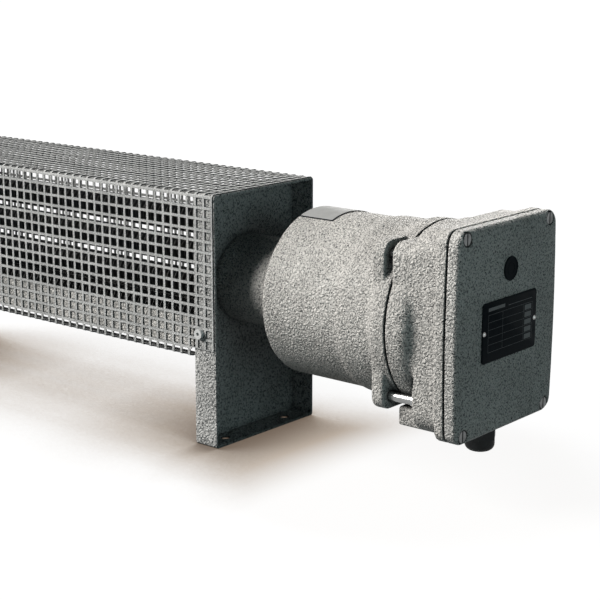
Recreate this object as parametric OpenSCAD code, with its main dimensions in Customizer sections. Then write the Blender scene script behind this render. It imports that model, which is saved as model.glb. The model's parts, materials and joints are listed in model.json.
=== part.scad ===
// Explosion-proof finned air heater.
// Two folded end brackets carry a perforated guard over two finned elements.
// A neck tube leads from the right bracket to a flameproof housing and a
// terminal box with a bolted cover and a cable gland.
// +X runs along the heater to the terminal box, the photographed side is -Y,
// +Z is up, and the origin lies under the middle of the whole object.

/* [End brackets] */
// Length over both end brackets
frame_len = 506; // [420:2:900]
// Depth of an end bracket, front to back
bracket_w = 137; // [134:1:170]
// Height of an end bracket
bracket_h = 233; // [226:1:280]
// Thickness of the bracket's sheet
sheet_t = 2; // [1.5:0.5:3]
// Width of the flanges round an end bracket
flange_d = 27; // [24:1:40]
// Outside radius of the bracket's corners
bracket_r = 2.5; // [2.5:0.5:8]
// Diameter of the mounting holes in the feet
foot_hole_d = 9; // [7:0.5:11]
// Distance between the two mounting holes of a foot
foot_hole_gap = 84; // [60:1:100]

/* [Guard] */
// Depth of the guard's walls below the top of the brackets
guard_h = 150; // [130:1:170]
// Thickness of the perforated sheet
guard_t = 1; // [0.8:0.1:1.5]
// Distance between neighbouring holes of the guard
guard_pitch = 20; // [18:1:30]
// Side of a square guard hole
guard_hole = 14; // [10:0.5:16]
// Width of the inward lips along the guard's lower edges
guard_lip = 10; // [6:1:14]
// Bare strip of the flange that shows past the guard's end
guard_reveal = 3; // [2:0.5:5]
// Height of the rails behind the guard
rail_h = 30; // [22:1:34]
// Depth of the rail's turned-in leg
rail_leg = 16; // [12:1:20]
// Gap between the lips of the guard and the rails above them
rail_lift = 8; // [4:1:12]

/* [Heating elements] */
// Depth of the heater's axis below the top of the brackets
axis_drop = 87; // [76:1:96]
// Diameter of the element tube
tube_d = 8.5; // [8:0.1:10]
// Diameter of the fins
fin_d = 26.5; // [22:0.5:29]
// Thickness of a fin
fin_t = 0.8; // [0.6:0.1:1.5]
// Distance between neighbouring fins
fin_pitch = 8; // [5:0.5:12]
// Gap between the fins of neighbouring legs
fin_gap = 4.5; // [3:0.5:6]
// Thickness of the header plate
header_t = 12; // [8:1:16]

/* [Neck and flameproof housing] */
// Outside diameter of the neck tube
neck_d = 82; // [80:1:90]
// Wall of the neck tube
neck_wall = 3.5; // [2.5:0.5:4]
// Distance from the bracket's flange to the housing
neck_reach = 61; // [50:1:90]
// Length of the housing
housing_len = 135; // [125:1:170]
// Outside diameter of the housing at its neck end
housing_d = 150; // [140:1:160]
// How far the housing swells out behind its soft step
swell_rise = 2; // [1.5:0.5:3.5]
// How far the joint's rim stands out from the swell
rim_rise = 3.5; // [3:0.5:6]
// Width of the joint's face round its spigot
joint_face = 8.5; // [8:0.5:10]
// Wall of the housing
housing_wall = 6; // [5:0.5:7]
// Length of the spigot joint
spigot_len = 12.5; // [10:0.5:16]
// Thickness of a lug of the housing
lug_t = 12; // [8:0.5:14]
// Radius of a lug round its bolt
lug_r = 11.5; // [10:0.5:13]
// Distance from the joint's rim out to a flange bolt's centre line
bolt_reach = 4.35; // [4.25:0.05:6]
// Diameter of a flange bolt
bolt_d = 8; // [6:0.5:8]

/* [Terminal box] */
// Length of the box's round neck
box_neck = 21.4; // [18:0.5:30]
// Depth of the box from its back to its rim
box_body = 23.1; // [20:0.5:40]
// Thickness of the box's rim
box_rim = 9; // [8:0.5:12]
// How much higher than its lugs the box stands, up and down
box_rise = 12.5; // [10:0.5:16]
// Radius of the box's corners
box_corner = 20; // [16:1:22]
// Side wall of the box
box_wall = 4; // [3.5:0.5:4]
// How far the cover stands past the box, up and down
cover_rise = 3.5; // [3:0.5:6]
// How far the cover's long sides bulge at the middle
cover_bulge = 2.5; // [0:0.5:4]
// Radius of the cover's corners
cover_corner = 12; // [10:0.5:14]
// Thickness of the cover
cover_t = 12; // [11:0.5:18]
// Thickness of the gasket under the cover
gasket_t = 0.9; // [0.5:0.1:1.5]
// Diameter of a cover screw
cover_screw_d = 6; // [5:0.5:6]

/* [Plates and gland] */
// Width of the rating plate
plate_w = 80; // [60:1:90]
// Height of the rating plate
plate_h = 50; // [40:1:56]
// Diameter of the round badge
badge_d = 20; // [16:1:24]
// Gap between the rating plate and the badge
badge_gap = 13; // [6:1:16]
// Diameter of the thread of the cable entries
entry_d = 20; // [16:1:20]
// Distance of a cable entry from the middle
entry_y = 25; // [20:1:36]
// Distance from the back of the box to a cable entry
entry_back = 3.6; // [0:0.2:8]
// Diameter of the cable bore through the gland's seal
cable_bore = 11; // [6:0.5:12]

/* [Hidden] */
$fn = 64;

// Clearances and the overrun of cuts
fit = 0.05;
slip = 0.1;
face_gap = 0.3;
over = 1;

// Small sizes of the brackets and of the guard's fastenings
guard_screw_web = 9.4;
guard_screw_up = 23;
guard_screw_d = 5;
guard_head_d = 9;
guard_head_h = 3.6;
guard_socket_d = 3.4;
guard_socket_h = 2;
guard_shank = 9;
nut_af = 8;
nut_h = 4;
guard_edge = 10;
lip_end = 2;
hole_clear = 0.5;

// Small sizes of the elements and of their support
web_gap = 4;
support_t = 1.5;
support_half_w = 22;
support_edge = 11.25;
support_foot = 14;
support_slot = 0.6;
support_screw_d = 5;
support_head_h = 3;
fin_margin = 3;
cold_reach = 78;
port_web = 2.5;
insulator_d = 7.5;
insulator_t = 5;
pin_d = 4;
pin_len = 18;
thermostat_d = 16;
thermostat_h = 11;
thermostat_edge = 7.5;
tab_t = 0.8;
tab_w = 4;
tab_h = 8;
tab_gap = 7;

// Small sizes of the housing and the box
face_r = 1;
step_back = 47;
step_len = 12;
rim_swell = 11;
rim_len = 10;
label_x = 1;
label_len = 36;
label_half_angle = 20;
label_t = 0.6;
end_wall = 8;
lug_back = 7;
joint_gap = 1;
ring_inset = 2;
neck_round = 10;
partition_t = 6;
bulkhead_t = 12;
bolt_head_rim = 2.5;
bolt_head_h = 8;
bolt_socket_d = 6.9;
bolt_socket_h = 4;
shoulder_rim = 0.7;
shoulder_len = 7;
pad_h = 16.5;
pad_r = 3;
bushing_d = 66;
bushing_flange = 4;
bushing_flange_t = 3;
lead_d = 3.6;
lead_bend_r = 6;
crimp_d = 6;
crimp_len = 14;
crimp_gap = 2;

// Small sizes of the terminals
rail_w = 15;
rail_lip = 3;
rail_top = 5.5;
rail_plate_t = 1;
rail_end = 6;
rail_y = 32;
rail_screw_d = 4;
rail_screw_grip = 4;
rail_screw_head_h = 2;
block_w = 9.7;
block_h = 36;
block_front = 4.5;
block_slot_d = 4.4;
block_slot_h = 3;
block_screw_y = 11;
block_entry = 8;
earth_in_y = 20;
earth_in_z = 12;
earth_d = 5;
earth_len = 14;
earth_washer_d = 14;
earth_washer_t = 1.5;

// Small sizes of the cover
cover_side = 0.5;
screw_in_y = 11;
screw_in_z = 7;
screw_grip = 7;
cover_lip = 5;
cover_lip_wall = 4;
cover_roof = 4;
edge_chamfer = 2.5;
edge_depth = 2.2;
crown_inset = 14;
crown_depth = 1;
recess_rim = 1;
recess_h = 4.5;
screw_head_rim = 2;
screw_head_h = 4;
screw_slot_w = 1.6;
screw_slot_h = 1.6;
plate_t = 1;
plate_r = 3;
rivet_in = 2.5;
rivet_d = 4;
rivet_h = 1.2;
rivet_grip = 2;
badge_t = 1.2;

// Small sizes of the gland
plug_flange = 3;
plug_socket_d = 11.5;
plug_socket_h = 5;
plug_len = 11;
washer_t = 1.5;
washer_rim = 3.5;
gland_shoulder = 3;
gland_thread = 11;
gland_hex_h = 9;
gland_neck_in = 0.3;
gland_neck_h = 16;
gland_wall = 2.5;
seal_len = 12;
slip_ring_t = 1.2;
nut_gap = 3;
nut_hex_h = 13;
nut_dome_h = 11;
nut_mouth_gap = 1;
nut_mouth_rim = 0.5;

// Heights and cross sizes that follow from the sizes above
axis_z = bracket_h - axis_drop;
guard_z0 = bracket_h - guard_h;
guard_top = bracket_h + guard_t;
leg_gap = fin_d + fin_gap;
legs_z = [leg_gap / 2, leg_gap * 3 / 2];
cold_bend_r = (leg_gap - tube_d - port_web) / 2;
outer_port = legs_z[1] - 2 * cold_bend_r;
support_half_h = legs_z[1] + tube_d / 2 + support_edge;
header_d = neck_d - 2 * neck_wall - 2 * fit;
thermostat_y = (neck_d - thermostat_d) / 2 - neck_wall - thermostat_edge;
swell_d = housing_d + 2 * swell_rise;
rim_d = swell_d + 2 * rim_rise;
spigot_d = rim_d - 2 * joint_face;
hollow_d = spigot_d - 2 * housing_wall;
bolt_offset = (rim_d / 2 + bolt_reach) * cos(45);
bolt_head_d = bolt_d + 2 * bolt_head_rim;
shoulder_d = bolt_d + 2 * shoulder_rim;
lug_half = bolt_offset + lug_r;
box_half_h = lug_half + box_rise;
inside_w = 2 * (lug_half - box_wall);
inside_h = 2 * (box_half_h - housing_wall);
pad_z = axis_z - box_half_h;
cover_half_w = lug_half + cover_side;
cover_half_h = box_half_h + cover_rise;
cover_screw_y = cover_half_w - screw_in_y;
cover_screw_z = cover_half_h - screw_in_z;
screw_head_d = cover_screw_d + 2 * screw_head_rim;
recess_d = screw_head_d + 2 * recess_rim;
rail_half_len = inside_h / 2 - rail_end;
rail_screw_z = rail_half_len - rail_end;
earth_y = bolt_offset - earth_in_y;
earth_z = inside_h / 2 - earth_in_z;
rivet_y = plate_w / 2 - rivet_in;
badge_up = plate_h / 2 + badge_gap + badge_d / 2;
washer_d = entry_d + 2 * washer_rim;
gland_af = entry_d + 2 * gland_shoulder;
gland_neck_d = entry_d - 2 * gland_neck_in;
gland_bore = entry_d - 2 * gland_wall;
nut_mouth_d = cable_bore + 2 * nut_mouth_gap;

// Stations along the heater
front_trim = plate_t + rivet_h;
head_len = neck_reach + housing_len + joint_gap + box_neck + box_body + box_rim
    + gasket_t + cover_t;
total_len = frame_len + head_len + front_trim;
x_left = -total_len / 2;
x_right = x_left + frame_len;
web_left = x_left + flange_d;
web_right = x_right - flange_d;
housing_x = x_right + neck_reach;
rim_x = housing_x + housing_len;
box_x = rim_x + joint_gap;
back_x = box_x + box_neck;
lip_x = back_x + box_body;
seam_x = lip_x + box_rim;
cover_x = seam_x + gasket_t;
front_x = cover_x + cover_t;
inner_x = back_x + partition_t;
bulkhead_x = box_x - spigot_len + bulkhead_t;
entry_x = back_x + entry_back;
guard_len = frame_len - 2 * guard_reveal;
guard_screw_in = flange_d - guard_screw_web;
bend_x = web_left + web_gap + leg_gap / 2 + tube_d / 2;
bend_run = 2 * cold_bend_r;
header_x = web_right - sheet_t;
fins_x0 = bend_x + support_t + 2 * fin_margin;
fins_x1 = header_x - bend_run - fin_margin;
tube_end = x_right + cold_reach;
block_x = inner_x + rail_top;
block_t = front_x - cover_roof - block_front - block_x;
lead_x = block_x + block_t / 2;

// Rounded rectangle about the origin, with true arcs
module round_rect(w, h, r) {
    square([w - 2 * r, h], center = true);
    square([w, h - 2 * r], center = true);
    for (sy = [-1, 1], sz = [-1, 1])
        translate([sy * (w / 2 - r), sz * (h / 2 - r)]) circle(r);
}

// A profile in Y and Z, drawn out along X from x
module along_x(x, z = 0, y = 0) {
    translate([x, y, z]) rotate([90, 0, 90]) children();
}

// A solid about Z, laid along X from x at the given height
module turned_x(x, z = axis_z, y = 0) {
    translate([x, y, z]) rotate([0, 90, 0]) children();
}

// A round bend of tube in the plane of X and Z
module tube_bend(x, z, r, from, sweep) {
    translate([x, 0, z]) rotate([90, 0, 0]) rotate([0, 0, from])
        rotate_extrude(angle = sweep) translate([r, 0]) circle(d = tube_d);
}

// Points of a soft step from radius r0 at x0 to radius r1 at x1
function soft_step(x0, r0, x1, r1, n = 6) =
    [for (i = [0:n]) [r0 + (r1 - r0) * (1 - cos(180 * i / n)) / 2,
        x0 + (x1 - x0) * i / n]];

// Points of a quarter round about (r, x) from angle a0 to a1
function arc_points(r, x, radius, a0, a1, n = 6) =
    [for (i = [0:n]) let (a = a0 + (a1 - a0) * i / n)
        [r + radius * cos(a), x + radius * sin(a)]];

// One corner and half a side of the cover's bulging outline
function barrel_quarter(inset) =
    let (h = cover_half_h - inset, w = cover_half_w - inset,
        r = max(cover_corner - inset, over), n = 8,
        lean = atan(2 * cover_bulge * (h - r) / (h * h)),
        z_end = h - r + r * sin(lean),
        y_end = w + cover_bulge * (1 - pow(z_end / h, 2)))
    concat(
        [for (i = [0:n - 1]) let (z = z_end * i / n)
            [w + cover_bulge * (1 - pow(z / h, 2)), z]],
        arc_points(y_end - r * cos(lean), h - r, r, lean, 90));

function mirrored(points, sy, sz) = [for (p = points) [sy * p[0], sz * p[1]]];
function reversed(points) = [for (i = [len(points) - 1:-1:0]) points[i]];
function without_first(points) = [for (i = [1:len(points) - 1]) points[i]];

// The cover's outline, drawn in by the given inset
module barrel(inset = 0) {
    q = barrel_quarter(inset);
    polygon(concat(q, reversed(mirrored(q, -1, 1)),
        without_first(mirrored(q, -1, -1)),
        reversed(without_first(mirrored(q, 1, -1)))));
}

// A hexagon nut or head about Z
module hexagon(af, h) {
    cylinder(d = af / cos(30), h = h, $fn = 6);
}

// Places at both brackets, front and back, for the guard's screws
module guard_screw_places() {
    for (x = [x_left + guard_screw_in, x_right - guard_screw_in], side = [0, 180])
        translate([x, 0, guard_z0 + guard_screw_up]) rotate([0, 0, side])
            translate([0, -bracket_w / 2, 0]) rotate([90, 0, 0]) children();
}

// Places of the flange bolts, with Z along the heater's axis
module bolt_places(x) {
    for (sy = [-1, 1], sz = [-1, 1])
        translate([x, sy * bolt_offset, axis_z + sz * bolt_offset])
            rotate([0, 90, 0]) children();
}

// Places of the cover screws, with Z along the heater's axis
module cover_screw_places(x) {
    for (sy = [-1, 1], sz = [-1, 1])
        translate([x, sy * cover_screw_y, axis_z + sz * cover_screw_z])
            rotate([0, 90, 0]) children();
}

// Sheet tray with flanges on four sides, its open side toward +X
module tray() {
    difference() {
        along_x(0, bracket_h / 2) linear_extrude(flange_d)
            round_rect(bracket_w, bracket_h, bracket_r);
        along_x(sheet_t, bracket_h / 2) linear_extrude(flange_d)
            round_rect(bracket_w - 2 * sheet_t, bracket_h - 2 * sheet_t,
                bracket_r - sheet_t);
        for (sy = [-1, 1])
            translate([flange_d / 2, sy * foot_hole_gap / 2, -over])
                cylinder(d = foot_hole_d, h = sheet_t + 2 * over);
    }
}

module end_bracket_right() {
    color("dimgray") difference() {
        translate([web_right, 0, 0]) tray();
        turned_x(web_right - over) cylinder(d = neck_d + 2 * fit, h = sheet_t + 2 * over);
        guard_screw_places()
            translate([0, 0, -sheet_t - over])
                cylinder(d = guard_screw_d + hole_clear, h = sheet_t + 2 * over);
    }
}

module end_bracket_left() {
    color("dimgray") difference() {
        translate([web_left, 0, 0]) mirror([1, 0, 0]) tray();
        guard_screw_places()
            translate([0, 0, -sheet_t - over])
                cylinder(d = guard_screw_d + hole_clear, h = sheet_t + 2 * over);
        support_screw_places()
            translate([0, 0, -over])
                cylinder(d = support_screw_d + hole_clear,
                    h = support_t + sheet_t + 2 * over);
    }
}

// True where a guard hole would reach under the head of a guard screw
function under_head(x, z) =
    abs(abs(x) - frame_len / 2 + guard_screw_in) < (guard_hole + guard_head_d) / 2
    && abs(z - guard_z0 - guard_screw_up) < (guard_hole + guard_head_d) / 2;

// Evenly spaced places about the middle of a span
function spread(span, pitch) =
    let (n = floor(span / pitch))
    [for (i = [0:n - 1]) (i - (n - 1) / 2) * pitch];

// Perforated sheet folded over both brackets, with lips along its lower edges
module mesh_guard() {
    mid_x = (x_left + x_right) / 2;
    wall_h = guard_top - guard_z0;
    columns = spread(guard_len - guard_edge, guard_pitch);
    rows = spread(wall_h - guard_edge, guard_pitch);
    files = spread(bracket_w - guard_edge, guard_pitch);
    lip_run = frame_len - 2 * flange_d - 2 * lip_end;
    color("silver") difference() {
        union() {
            along_x(mid_x - guard_len / 2) linear_extrude(guard_len)
                difference() {
                    translate([0, bracket_h / 2])
                        round_rect(bracket_w + 2 * guard_t, bracket_h + 2 * guard_t,
                            bracket_r + guard_t);
                    translate([0, bracket_h / 2])
                        round_rect(bracket_w, bracket_h, bracket_r);
                    translate([-bracket_w, -bracket_h + guard_z0])
                        square([2 * bracket_w, bracket_h]);
                }
            for (side = [0, 1]) mirror([0, side, 0])
                along_x(mid_x - lip_run / 2) linear_extrude(lip_run)
                    translate([-bracket_w / 2 - guard_t, guard_z0])
                        square([guard_lip + guard_t, guard_t]);
        }
        for (x = columns, z = rows)
            if (!under_head(x, guard_z0 + wall_h / 2 + z))
                translate([mid_x + x, 0, guard_z0 + wall_h / 2 + z])
                    cube([guard_hole, bracket_w + 2 * guard_t + 2 * over, guard_hole],
                        center = true);
        for (x = columns, y = files)
            translate([mid_x + x, y, guard_top])
                cube([guard_hole, guard_hole, 2 * (guard_t + over)], center = true);
        guard_screw_places()
            translate([0, 0, -over])
                cylinder(d = guard_screw_d + hole_clear, h = guard_t + 2 * over);
    }
}

// Angle rail between the brackets, just behind the guard
module guard_rail() {
    along_x(web_left) linear_extrude(web_right - web_left)
        translate([-bracket_w / 2, guard_z0 + rail_lift]) {
            square([sheet_t, rail_h]);
            square([rail_leg, sheet_t]);
        }
}

module guard_rail_front() {
    color("gray") guard_rail();
}

module guard_rail_rear() {
    color("gray") mirror([0, 1, 0]) guard_rail();
}

// Pan-head screws with a hexagon socket, through guard and flange
module guard_screws() {
    color("gainsboro") guard_screw_places() {
        difference() {
            translate([0, 0, guard_t]) cylinder(d = guard_head_d, h = guard_head_h);
            translate([0, 0, guard_t + guard_head_h - guard_socket_h])
                cylinder(d = guard_socket_d, h = guard_socket_h + over, $fn = 6);
        }
        translate([0, 0, guard_t - guard_shank])
            cylinder(d = guard_screw_d, h = guard_shank);
    }
}

module guard_nuts() {
    color("gainsboro") guard_screw_places()
        translate([0, 0, -sheet_t - nut_h]) difference() {
            hexagon(nut_af, nut_h);
            translate([0, 0, -over])
                cylinder(d = guard_screw_d + 2 * fit, h = nut_h + 2 * over);
        }
}

// Straight finned stretch of an element leg, turned as one comb profile
module finned_leg(z) {
    run = fins_x1 - fins_x0;
    count = floor((run - fin_t) / fin_pitch);
    start = (run - fin_t - count * fin_pitch) / 2;
    turned_x(fins_x0, axis_z + z) rotate_extrude()
        polygon(concat(
            [[0, 0], [tube_d / 2, 0]],
            [for (i = [0:count]) each let (x = start + i * fin_pitch)
                [[tube_d / 2, x], [fin_d / 2, x], [fin_d / 2, x + fin_t],
                    [tube_d / 2, x + fin_t]]],
            [[tube_d / 2, run], [0, run]]));
}

// U-shaped element with two finned legs, its outer leg drawn in to the header
module element() {
    for (z = legs_z) {
        finned_leg(z);
        turned_x(bend_x, axis_z + z) cylinder(d = tube_d, h = fins_x0 - bend_x);
    }
    tube_bend(bend_x, axis_z + leg_gap, leg_gap / 2, 90, 180);
    turned_x(fins_x1, axis_z + legs_z[0]) cylinder(d = tube_d, h = tube_end - fins_x1);
    turned_x(fins_x1, axis_z + legs_z[1]) cylinder(d = tube_d, h = fin_margin);
    tube_bend(header_x - bend_run, axis_z + legs_z[1] - cold_bend_r, cold_bend_r, 0, 90);
    tube_bend(header_x, axis_z + outer_port + cold_bend_r, cold_bend_r, 180, 90);
    turned_x(header_x, axis_z + outer_port) cylinder(d = tube_d, h = tube_end - header_x);
}

module upper_element() {
    color("slategray") element();
}

module lower_element() {
    color("slategray") translate([0, 0, 2 * axis_z]) mirror([0, 0, 1]) element();
}

// Places of the support's screws, with Z pointing into the left bracket's tray
module support_screw_places() {
    for (sz = [-1, 1])
        translate([web_left + support_t, 0,
            axis_z + sz * (support_half_h + support_foot / 2)])
            rotate([0, -90, 0]) children();
}

// Folded bracket on the left web, slotted for the two U-bends
module element_support() {
    slot_h = leg_gap + tube_d + support_slot;
    slot_w = tube_d + support_slot;
    color("darkgray") difference() {
        union() {
            along_x(bend_x, axis_z) linear_extrude(support_t)
                square([2 * support_half_w, 2 * support_half_h], center = true);
            for (sz = [-1, 1]) {
                along_x(web_left, axis_z + sz * (support_half_h - support_t / 2))
                    linear_extrude(bend_x - web_left)
                        square([2 * support_half_w, support_t], center = true);
                along_x(web_left, axis_z + sz * (support_half_h + support_foot / 2
                    - support_t / 2)) linear_extrude(support_t)
                        square([2 * support_half_w, support_foot + support_t],
                            center = true);
            }
        }
        for (sz = [-1, 1])
            along_x(bend_x - over, axis_z + sz * leg_gap)
                linear_extrude(support_t + 2 * over)
                    round_rect(slot_w, slot_h, slot_w / 2 - fit);
        support_screw_places()
            translate([0, 0, -over])
                cylinder(d = support_screw_d + hole_clear, h = support_t + 2 * over);
    }
}

module support_screws() {
    color("gainsboro") support_screw_places() {
        translate([0, 0, -support_head_h])
            cylinder(d = guard_head_d, h = support_head_h);
        cylinder(d = support_screw_d, h = guard_shank);
    }
}

module support_nuts() {
    color("gainsboro") support_screw_places()
        translate([0, 0, support_t + sheet_t]) difference() {
            hexagon(nut_af, nut_h);
            translate([0, 0, -over])
                cylinder(d = support_screw_d + 2 * fit, h = nut_h + 2 * over);
        }
}

// Positions across the header plate of the four tube ends
ports = [-outer_port, -legs_z[0], legs_z[0], outer_port];

module header_plate() {
    color("silver") difference() {
        turned_x(header_x) cylinder(d = header_d, h = header_t);
        for (z = ports)
            turned_x(header_x - over, axis_z + z)
                cylinder(d = tube_d + 2 * fit, h = header_t + 2 * over);
    }
}

// Over-temperature limiter seated on the header plate inside the neck
module limit_thermostat() {
    color("ivory") {
        turned_x(header_x + header_t, axis_z, thermostat_y)
            cylinder(d = thermostat_d, h = thermostat_h);
        for (sz = [-1, 1])
            translate([header_x + header_t + thermostat_h + tab_h / 2, thermostat_y,
                axis_z + sz * tab_gap / 2])
                cube([tab_h, tab_w, tab_t], center = true);
    }
}

module element_insulators() {
    color("white") for (z = ports)
        turned_x(tube_end, axis_z + z) difference() {
            cylinder(d = insulator_d, h = insulator_t);
            translate([0, 0, -over])
                cylinder(d = pin_d + 2 * fit, h = insulator_t + 2 * over);
        }
}

module element_pins() {
    color("silver") for (z = ports)
        turned_x(tube_end, axis_z + z) cylinder(d = pin_d, h = pin_len);
}

module neck_tube() {
    color("gray") turned_x(header_x) difference() {
        cylinder(d = neck_d, h = housing_x + end_wall - header_x);
        translate([0, 0, -over])
            cylinder(d = neck_d - 2 * neck_wall,
                h = housing_x + end_wall - header_x + 2 * over);
    }
}

// Square set of lugs round the axis, without the round body between them
module lugs(x, t) {
    along_x(x, axis_z) linear_extrude(t)
        round_rect(2 * lug_half, 2 * lug_half, lug_r);
}

// Flameproof casting: round body with a soft swell to its rim and four lugs
module flameproof_housing() {
    color("darkgray") difference() {
        union() {
            turned_x(housing_x) rotate_extrude() polygon(concat(
                [[0, 0]],
                arc_points(housing_d / 2 - face_r, face_r, face_r, -90, 0),
                soft_step(housing_len - step_back - step_len, housing_d / 2,
                    housing_len - step_back, swell_d / 2),
                soft_step(housing_len - rim_len - rim_swell, swell_d / 2,
                    housing_len - rim_len, rim_d / 2),
                [[rim_d / 2, housing_len], [0, housing_len]]));
            lugs(rim_x - lug_back - lug_t, lug_t);
        }
        turned_x(housing_x - over)
            cylinder(d = neck_d + 2 * fit, h = end_wall + 2 * over);
        turned_x(housing_x + end_wall)
            cylinder(d = housing_d - 2 * housing_wall, h = housing_len);
        turned_x(rim_x - spigot_len - slip)
            cylinder(d = spigot_d + 2 * fit, h = spigot_len + slip + over);
        bolt_places(rim_x - lug_back - lug_t - over)
            cylinder(d = bolt_d + 2 * fit, h = lug_t + 2 * over);
    }
}

// Bare curved plate on top of the housing
module housing_label() {
    color("lightgray") turned_x(housing_x + face_r + label_x)
        rotate([0, 0, 180 - label_half_angle])
            rotate_extrude(angle = 2 * label_half_angle)
                translate([housing_d / 2 + slip, 0]) square([label_t, label_len]);
}

// Seal in the groove of the joint, seen as its dark ring
module joint_ring() {
    color("black") turned_x(rim_x) difference() {
        cylinder(d = rim_d - 2 * ring_inset, h = joint_gap);
        translate([0, 0, -over])
            cylinder(d = spigot_d + 2 * fit, h = joint_gap + 2 * over);
    }
}

// Socket-head bolts from inside the box, through its back and into the lugs
module flange_bolts() {
    lug_x = rim_x - lug_back - lug_t;
    color("silver") {
        bolt_places(inner_x) difference() {
            cylinder(d = bolt_head_d, h = bolt_head_h);
            translate([0, 0, bolt_head_h - bolt_socket_h])
                hexagon(bolt_socket_d, bolt_socket_h + over);
        }
        bolt_places(back_x - shoulder_len)
            cylinder(d = shoulder_d, h = shoulder_len + partition_t);
        bolt_places(lug_x) cylinder(d = bolt_d, h = back_x - shoulder_len - lug_x);
    }
}

// Terminal box casting: spigot, round neck, two upper lugs, body, rim, entry pad
module terminal_box() {
    color("darkgray") difference() {
        union() {
            turned_x(box_x - spigot_len) cylinder(d = spigot_d, h = spigot_len);
            turned_x(box_x) rotate_extrude() polygon(concat(
                [[0, 0], [rim_d / 2, 0]],
                arc_points(rim_d / 2 - neck_round, box_neck - neck_round, neck_round,
                    0, 90),
                [[0, box_neck]]));
            intersection() {
                lugs(box_x, box_neck);
                translate([box_x, -2 * lug_half, axis_z])
                    cube([box_neck, 4 * lug_half, 2 * lug_half]);
            }
            along_x(back_x, axis_z) linear_extrude(box_body)
                round_rect(2 * lug_half, 2 * box_half_h, box_corner);
            along_x(lip_x, axis_z) linear_extrude(box_rim) barrel();
            along_x(box_x, pad_z + pad_h / 2) linear_extrude(lip_x - box_x)
                round_rect(2 * bolt_offset, pad_h, pad_r);
        }
        turned_x(bulkhead_x)
            cylinder(d = hollow_d, h = inner_x - bulkhead_x + over);
        turned_x(bulkhead_x - bulkhead_t - over)
            cylinder(d = bushing_d + 2 * fit, h = bulkhead_t + 2 * over);
        rail_screw_places(inner_x - rail_screw_grip - slip)
            cylinder(d = rail_screw_d + 2 * fit, h = rail_screw_grip + slip + over);
        along_x(inner_x, axis_z) linear_extrude(seam_x - inner_x + over)
            round_rect(inside_w, inside_h, box_corner - box_wall);
        bolt_places(box_x - over)
            cylinder(d = shoulder_d + 2 * slip, h = inner_x - box_x + 2 * over);
        cover_screw_places(seam_x - screw_grip - slip)
            cylinder(d = cover_screw_d + 2 * fit, h = screw_grip + slip + over);
        for (sy = [-1, 1])
            translate([entry_x, sy * entry_y, pad_z - over])
                cylinder(d = entry_d + 2 * fit, h = (axis_z - pad_z) / 2);
    }
}

// Cast-in bushing that takes the conductors through the bulkhead in the spigot
module lead_bushing() {
    color("saddlebrown") difference() {
        union() {
            turned_x(bulkhead_x - bulkhead_t) cylinder(d = bushing_d, h = bulkhead_t);
            turned_x(bulkhead_x)
                cylinder(d = bushing_d + 2 * bushing_flange, h = bushing_flange_t);
        }
        for (z = ports)
            turned_x(bulkhead_x - bulkhead_t - over, axis_z + z)
                cylinder(d = lead_d + 2 * fit,
                    h = bulkhead_t + bushing_flange_t + 2 * over);
    }
}

// Conductors from the element pins through the bushing to the terminal blocks
module internal_leads() {
    crimp_x = tube_end + insulator_t + crimp_gap;
    lead_end = crimp_x + crimp_len;
    turn_x = lead_x - lead_bend_r;
    color("firebrick") for (z = ports) {
        difference() {
            turned_x(crimp_x, axis_z + z) cylinder(d = crimp_d, h = crimp_len);
            turned_x(crimp_x - over, axis_z + z)
                cylinder(d = pin_d + 2 * fit, h = pin_len - insulator_t - crimp_gap
                    + fit + over);
        }
        turned_x(lead_end, axis_z + z) cylinder(d = lead_d, h = turn_x - lead_end);
        translate([turn_x, lead_bend_r, axis_z + z]) rotate([0, 0, 270])
            rotate_extrude(angle = 90) translate([lead_bend_r, 0]) circle(d = lead_d);
        translate([lead_x, lead_bend_r, axis_z + z]) rotate([-90, 0, 0])
            cylinder(d = lead_d, h = rail_y - block_h / 2 + block_entry / 2 - lead_bend_r);
    }
}

// Places of the rail's screws, with Z along the heater's axis
module rail_screw_places(x) {
    for (sz = [-1, 1]) turned_x(x, axis_z + sz * rail_screw_z, rail_y) children();
}

// Top-hat rail that spans the hollow of the box's neck
module din_rail() {
    run = 2 * rail_half_len;
    inner_w = rail_w - 2 * rail_lip;
    color("gainsboro") difference() {
        along_x(inner_x, axis_z, rail_y) {
            linear_extrude(rail_plate_t) square([inner_w, run], center = true);
            for (side = [-1, 1]) {
                linear_extrude(rail_top)
                    translate([side * (inner_w - rail_plate_t) / 2, 0])
                        square([rail_plate_t, run], center = true);
                translate([side * (rail_w - rail_lip - rail_plate_t) / 2, 0,
                    rail_top - rail_plate_t])
                    linear_extrude(rail_plate_t)
                        square([rail_lip + rail_plate_t, run], center = true);
            }
        }
        rail_screw_places(inner_x - over)
            cylinder(d = rail_screw_d + 2 * fit, h = rail_plate_t + 2 * over);
    }
}

// Screws with flat heads between the rail's walls
module rail_screws() {
    head_d = rail_w - 2 * rail_lip - 2 * rail_plate_t - 2 * hole_clear;
    color("silver") {
        rail_screw_places(inner_x + rail_plate_t)
            cylinder(d = head_d, h = rail_screw_head_h);
        rail_screw_places(inner_x - rail_screw_grip)
            cylinder(d = rail_screw_d, h = rail_screw_grip + rail_plate_t);
    }
}

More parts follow.
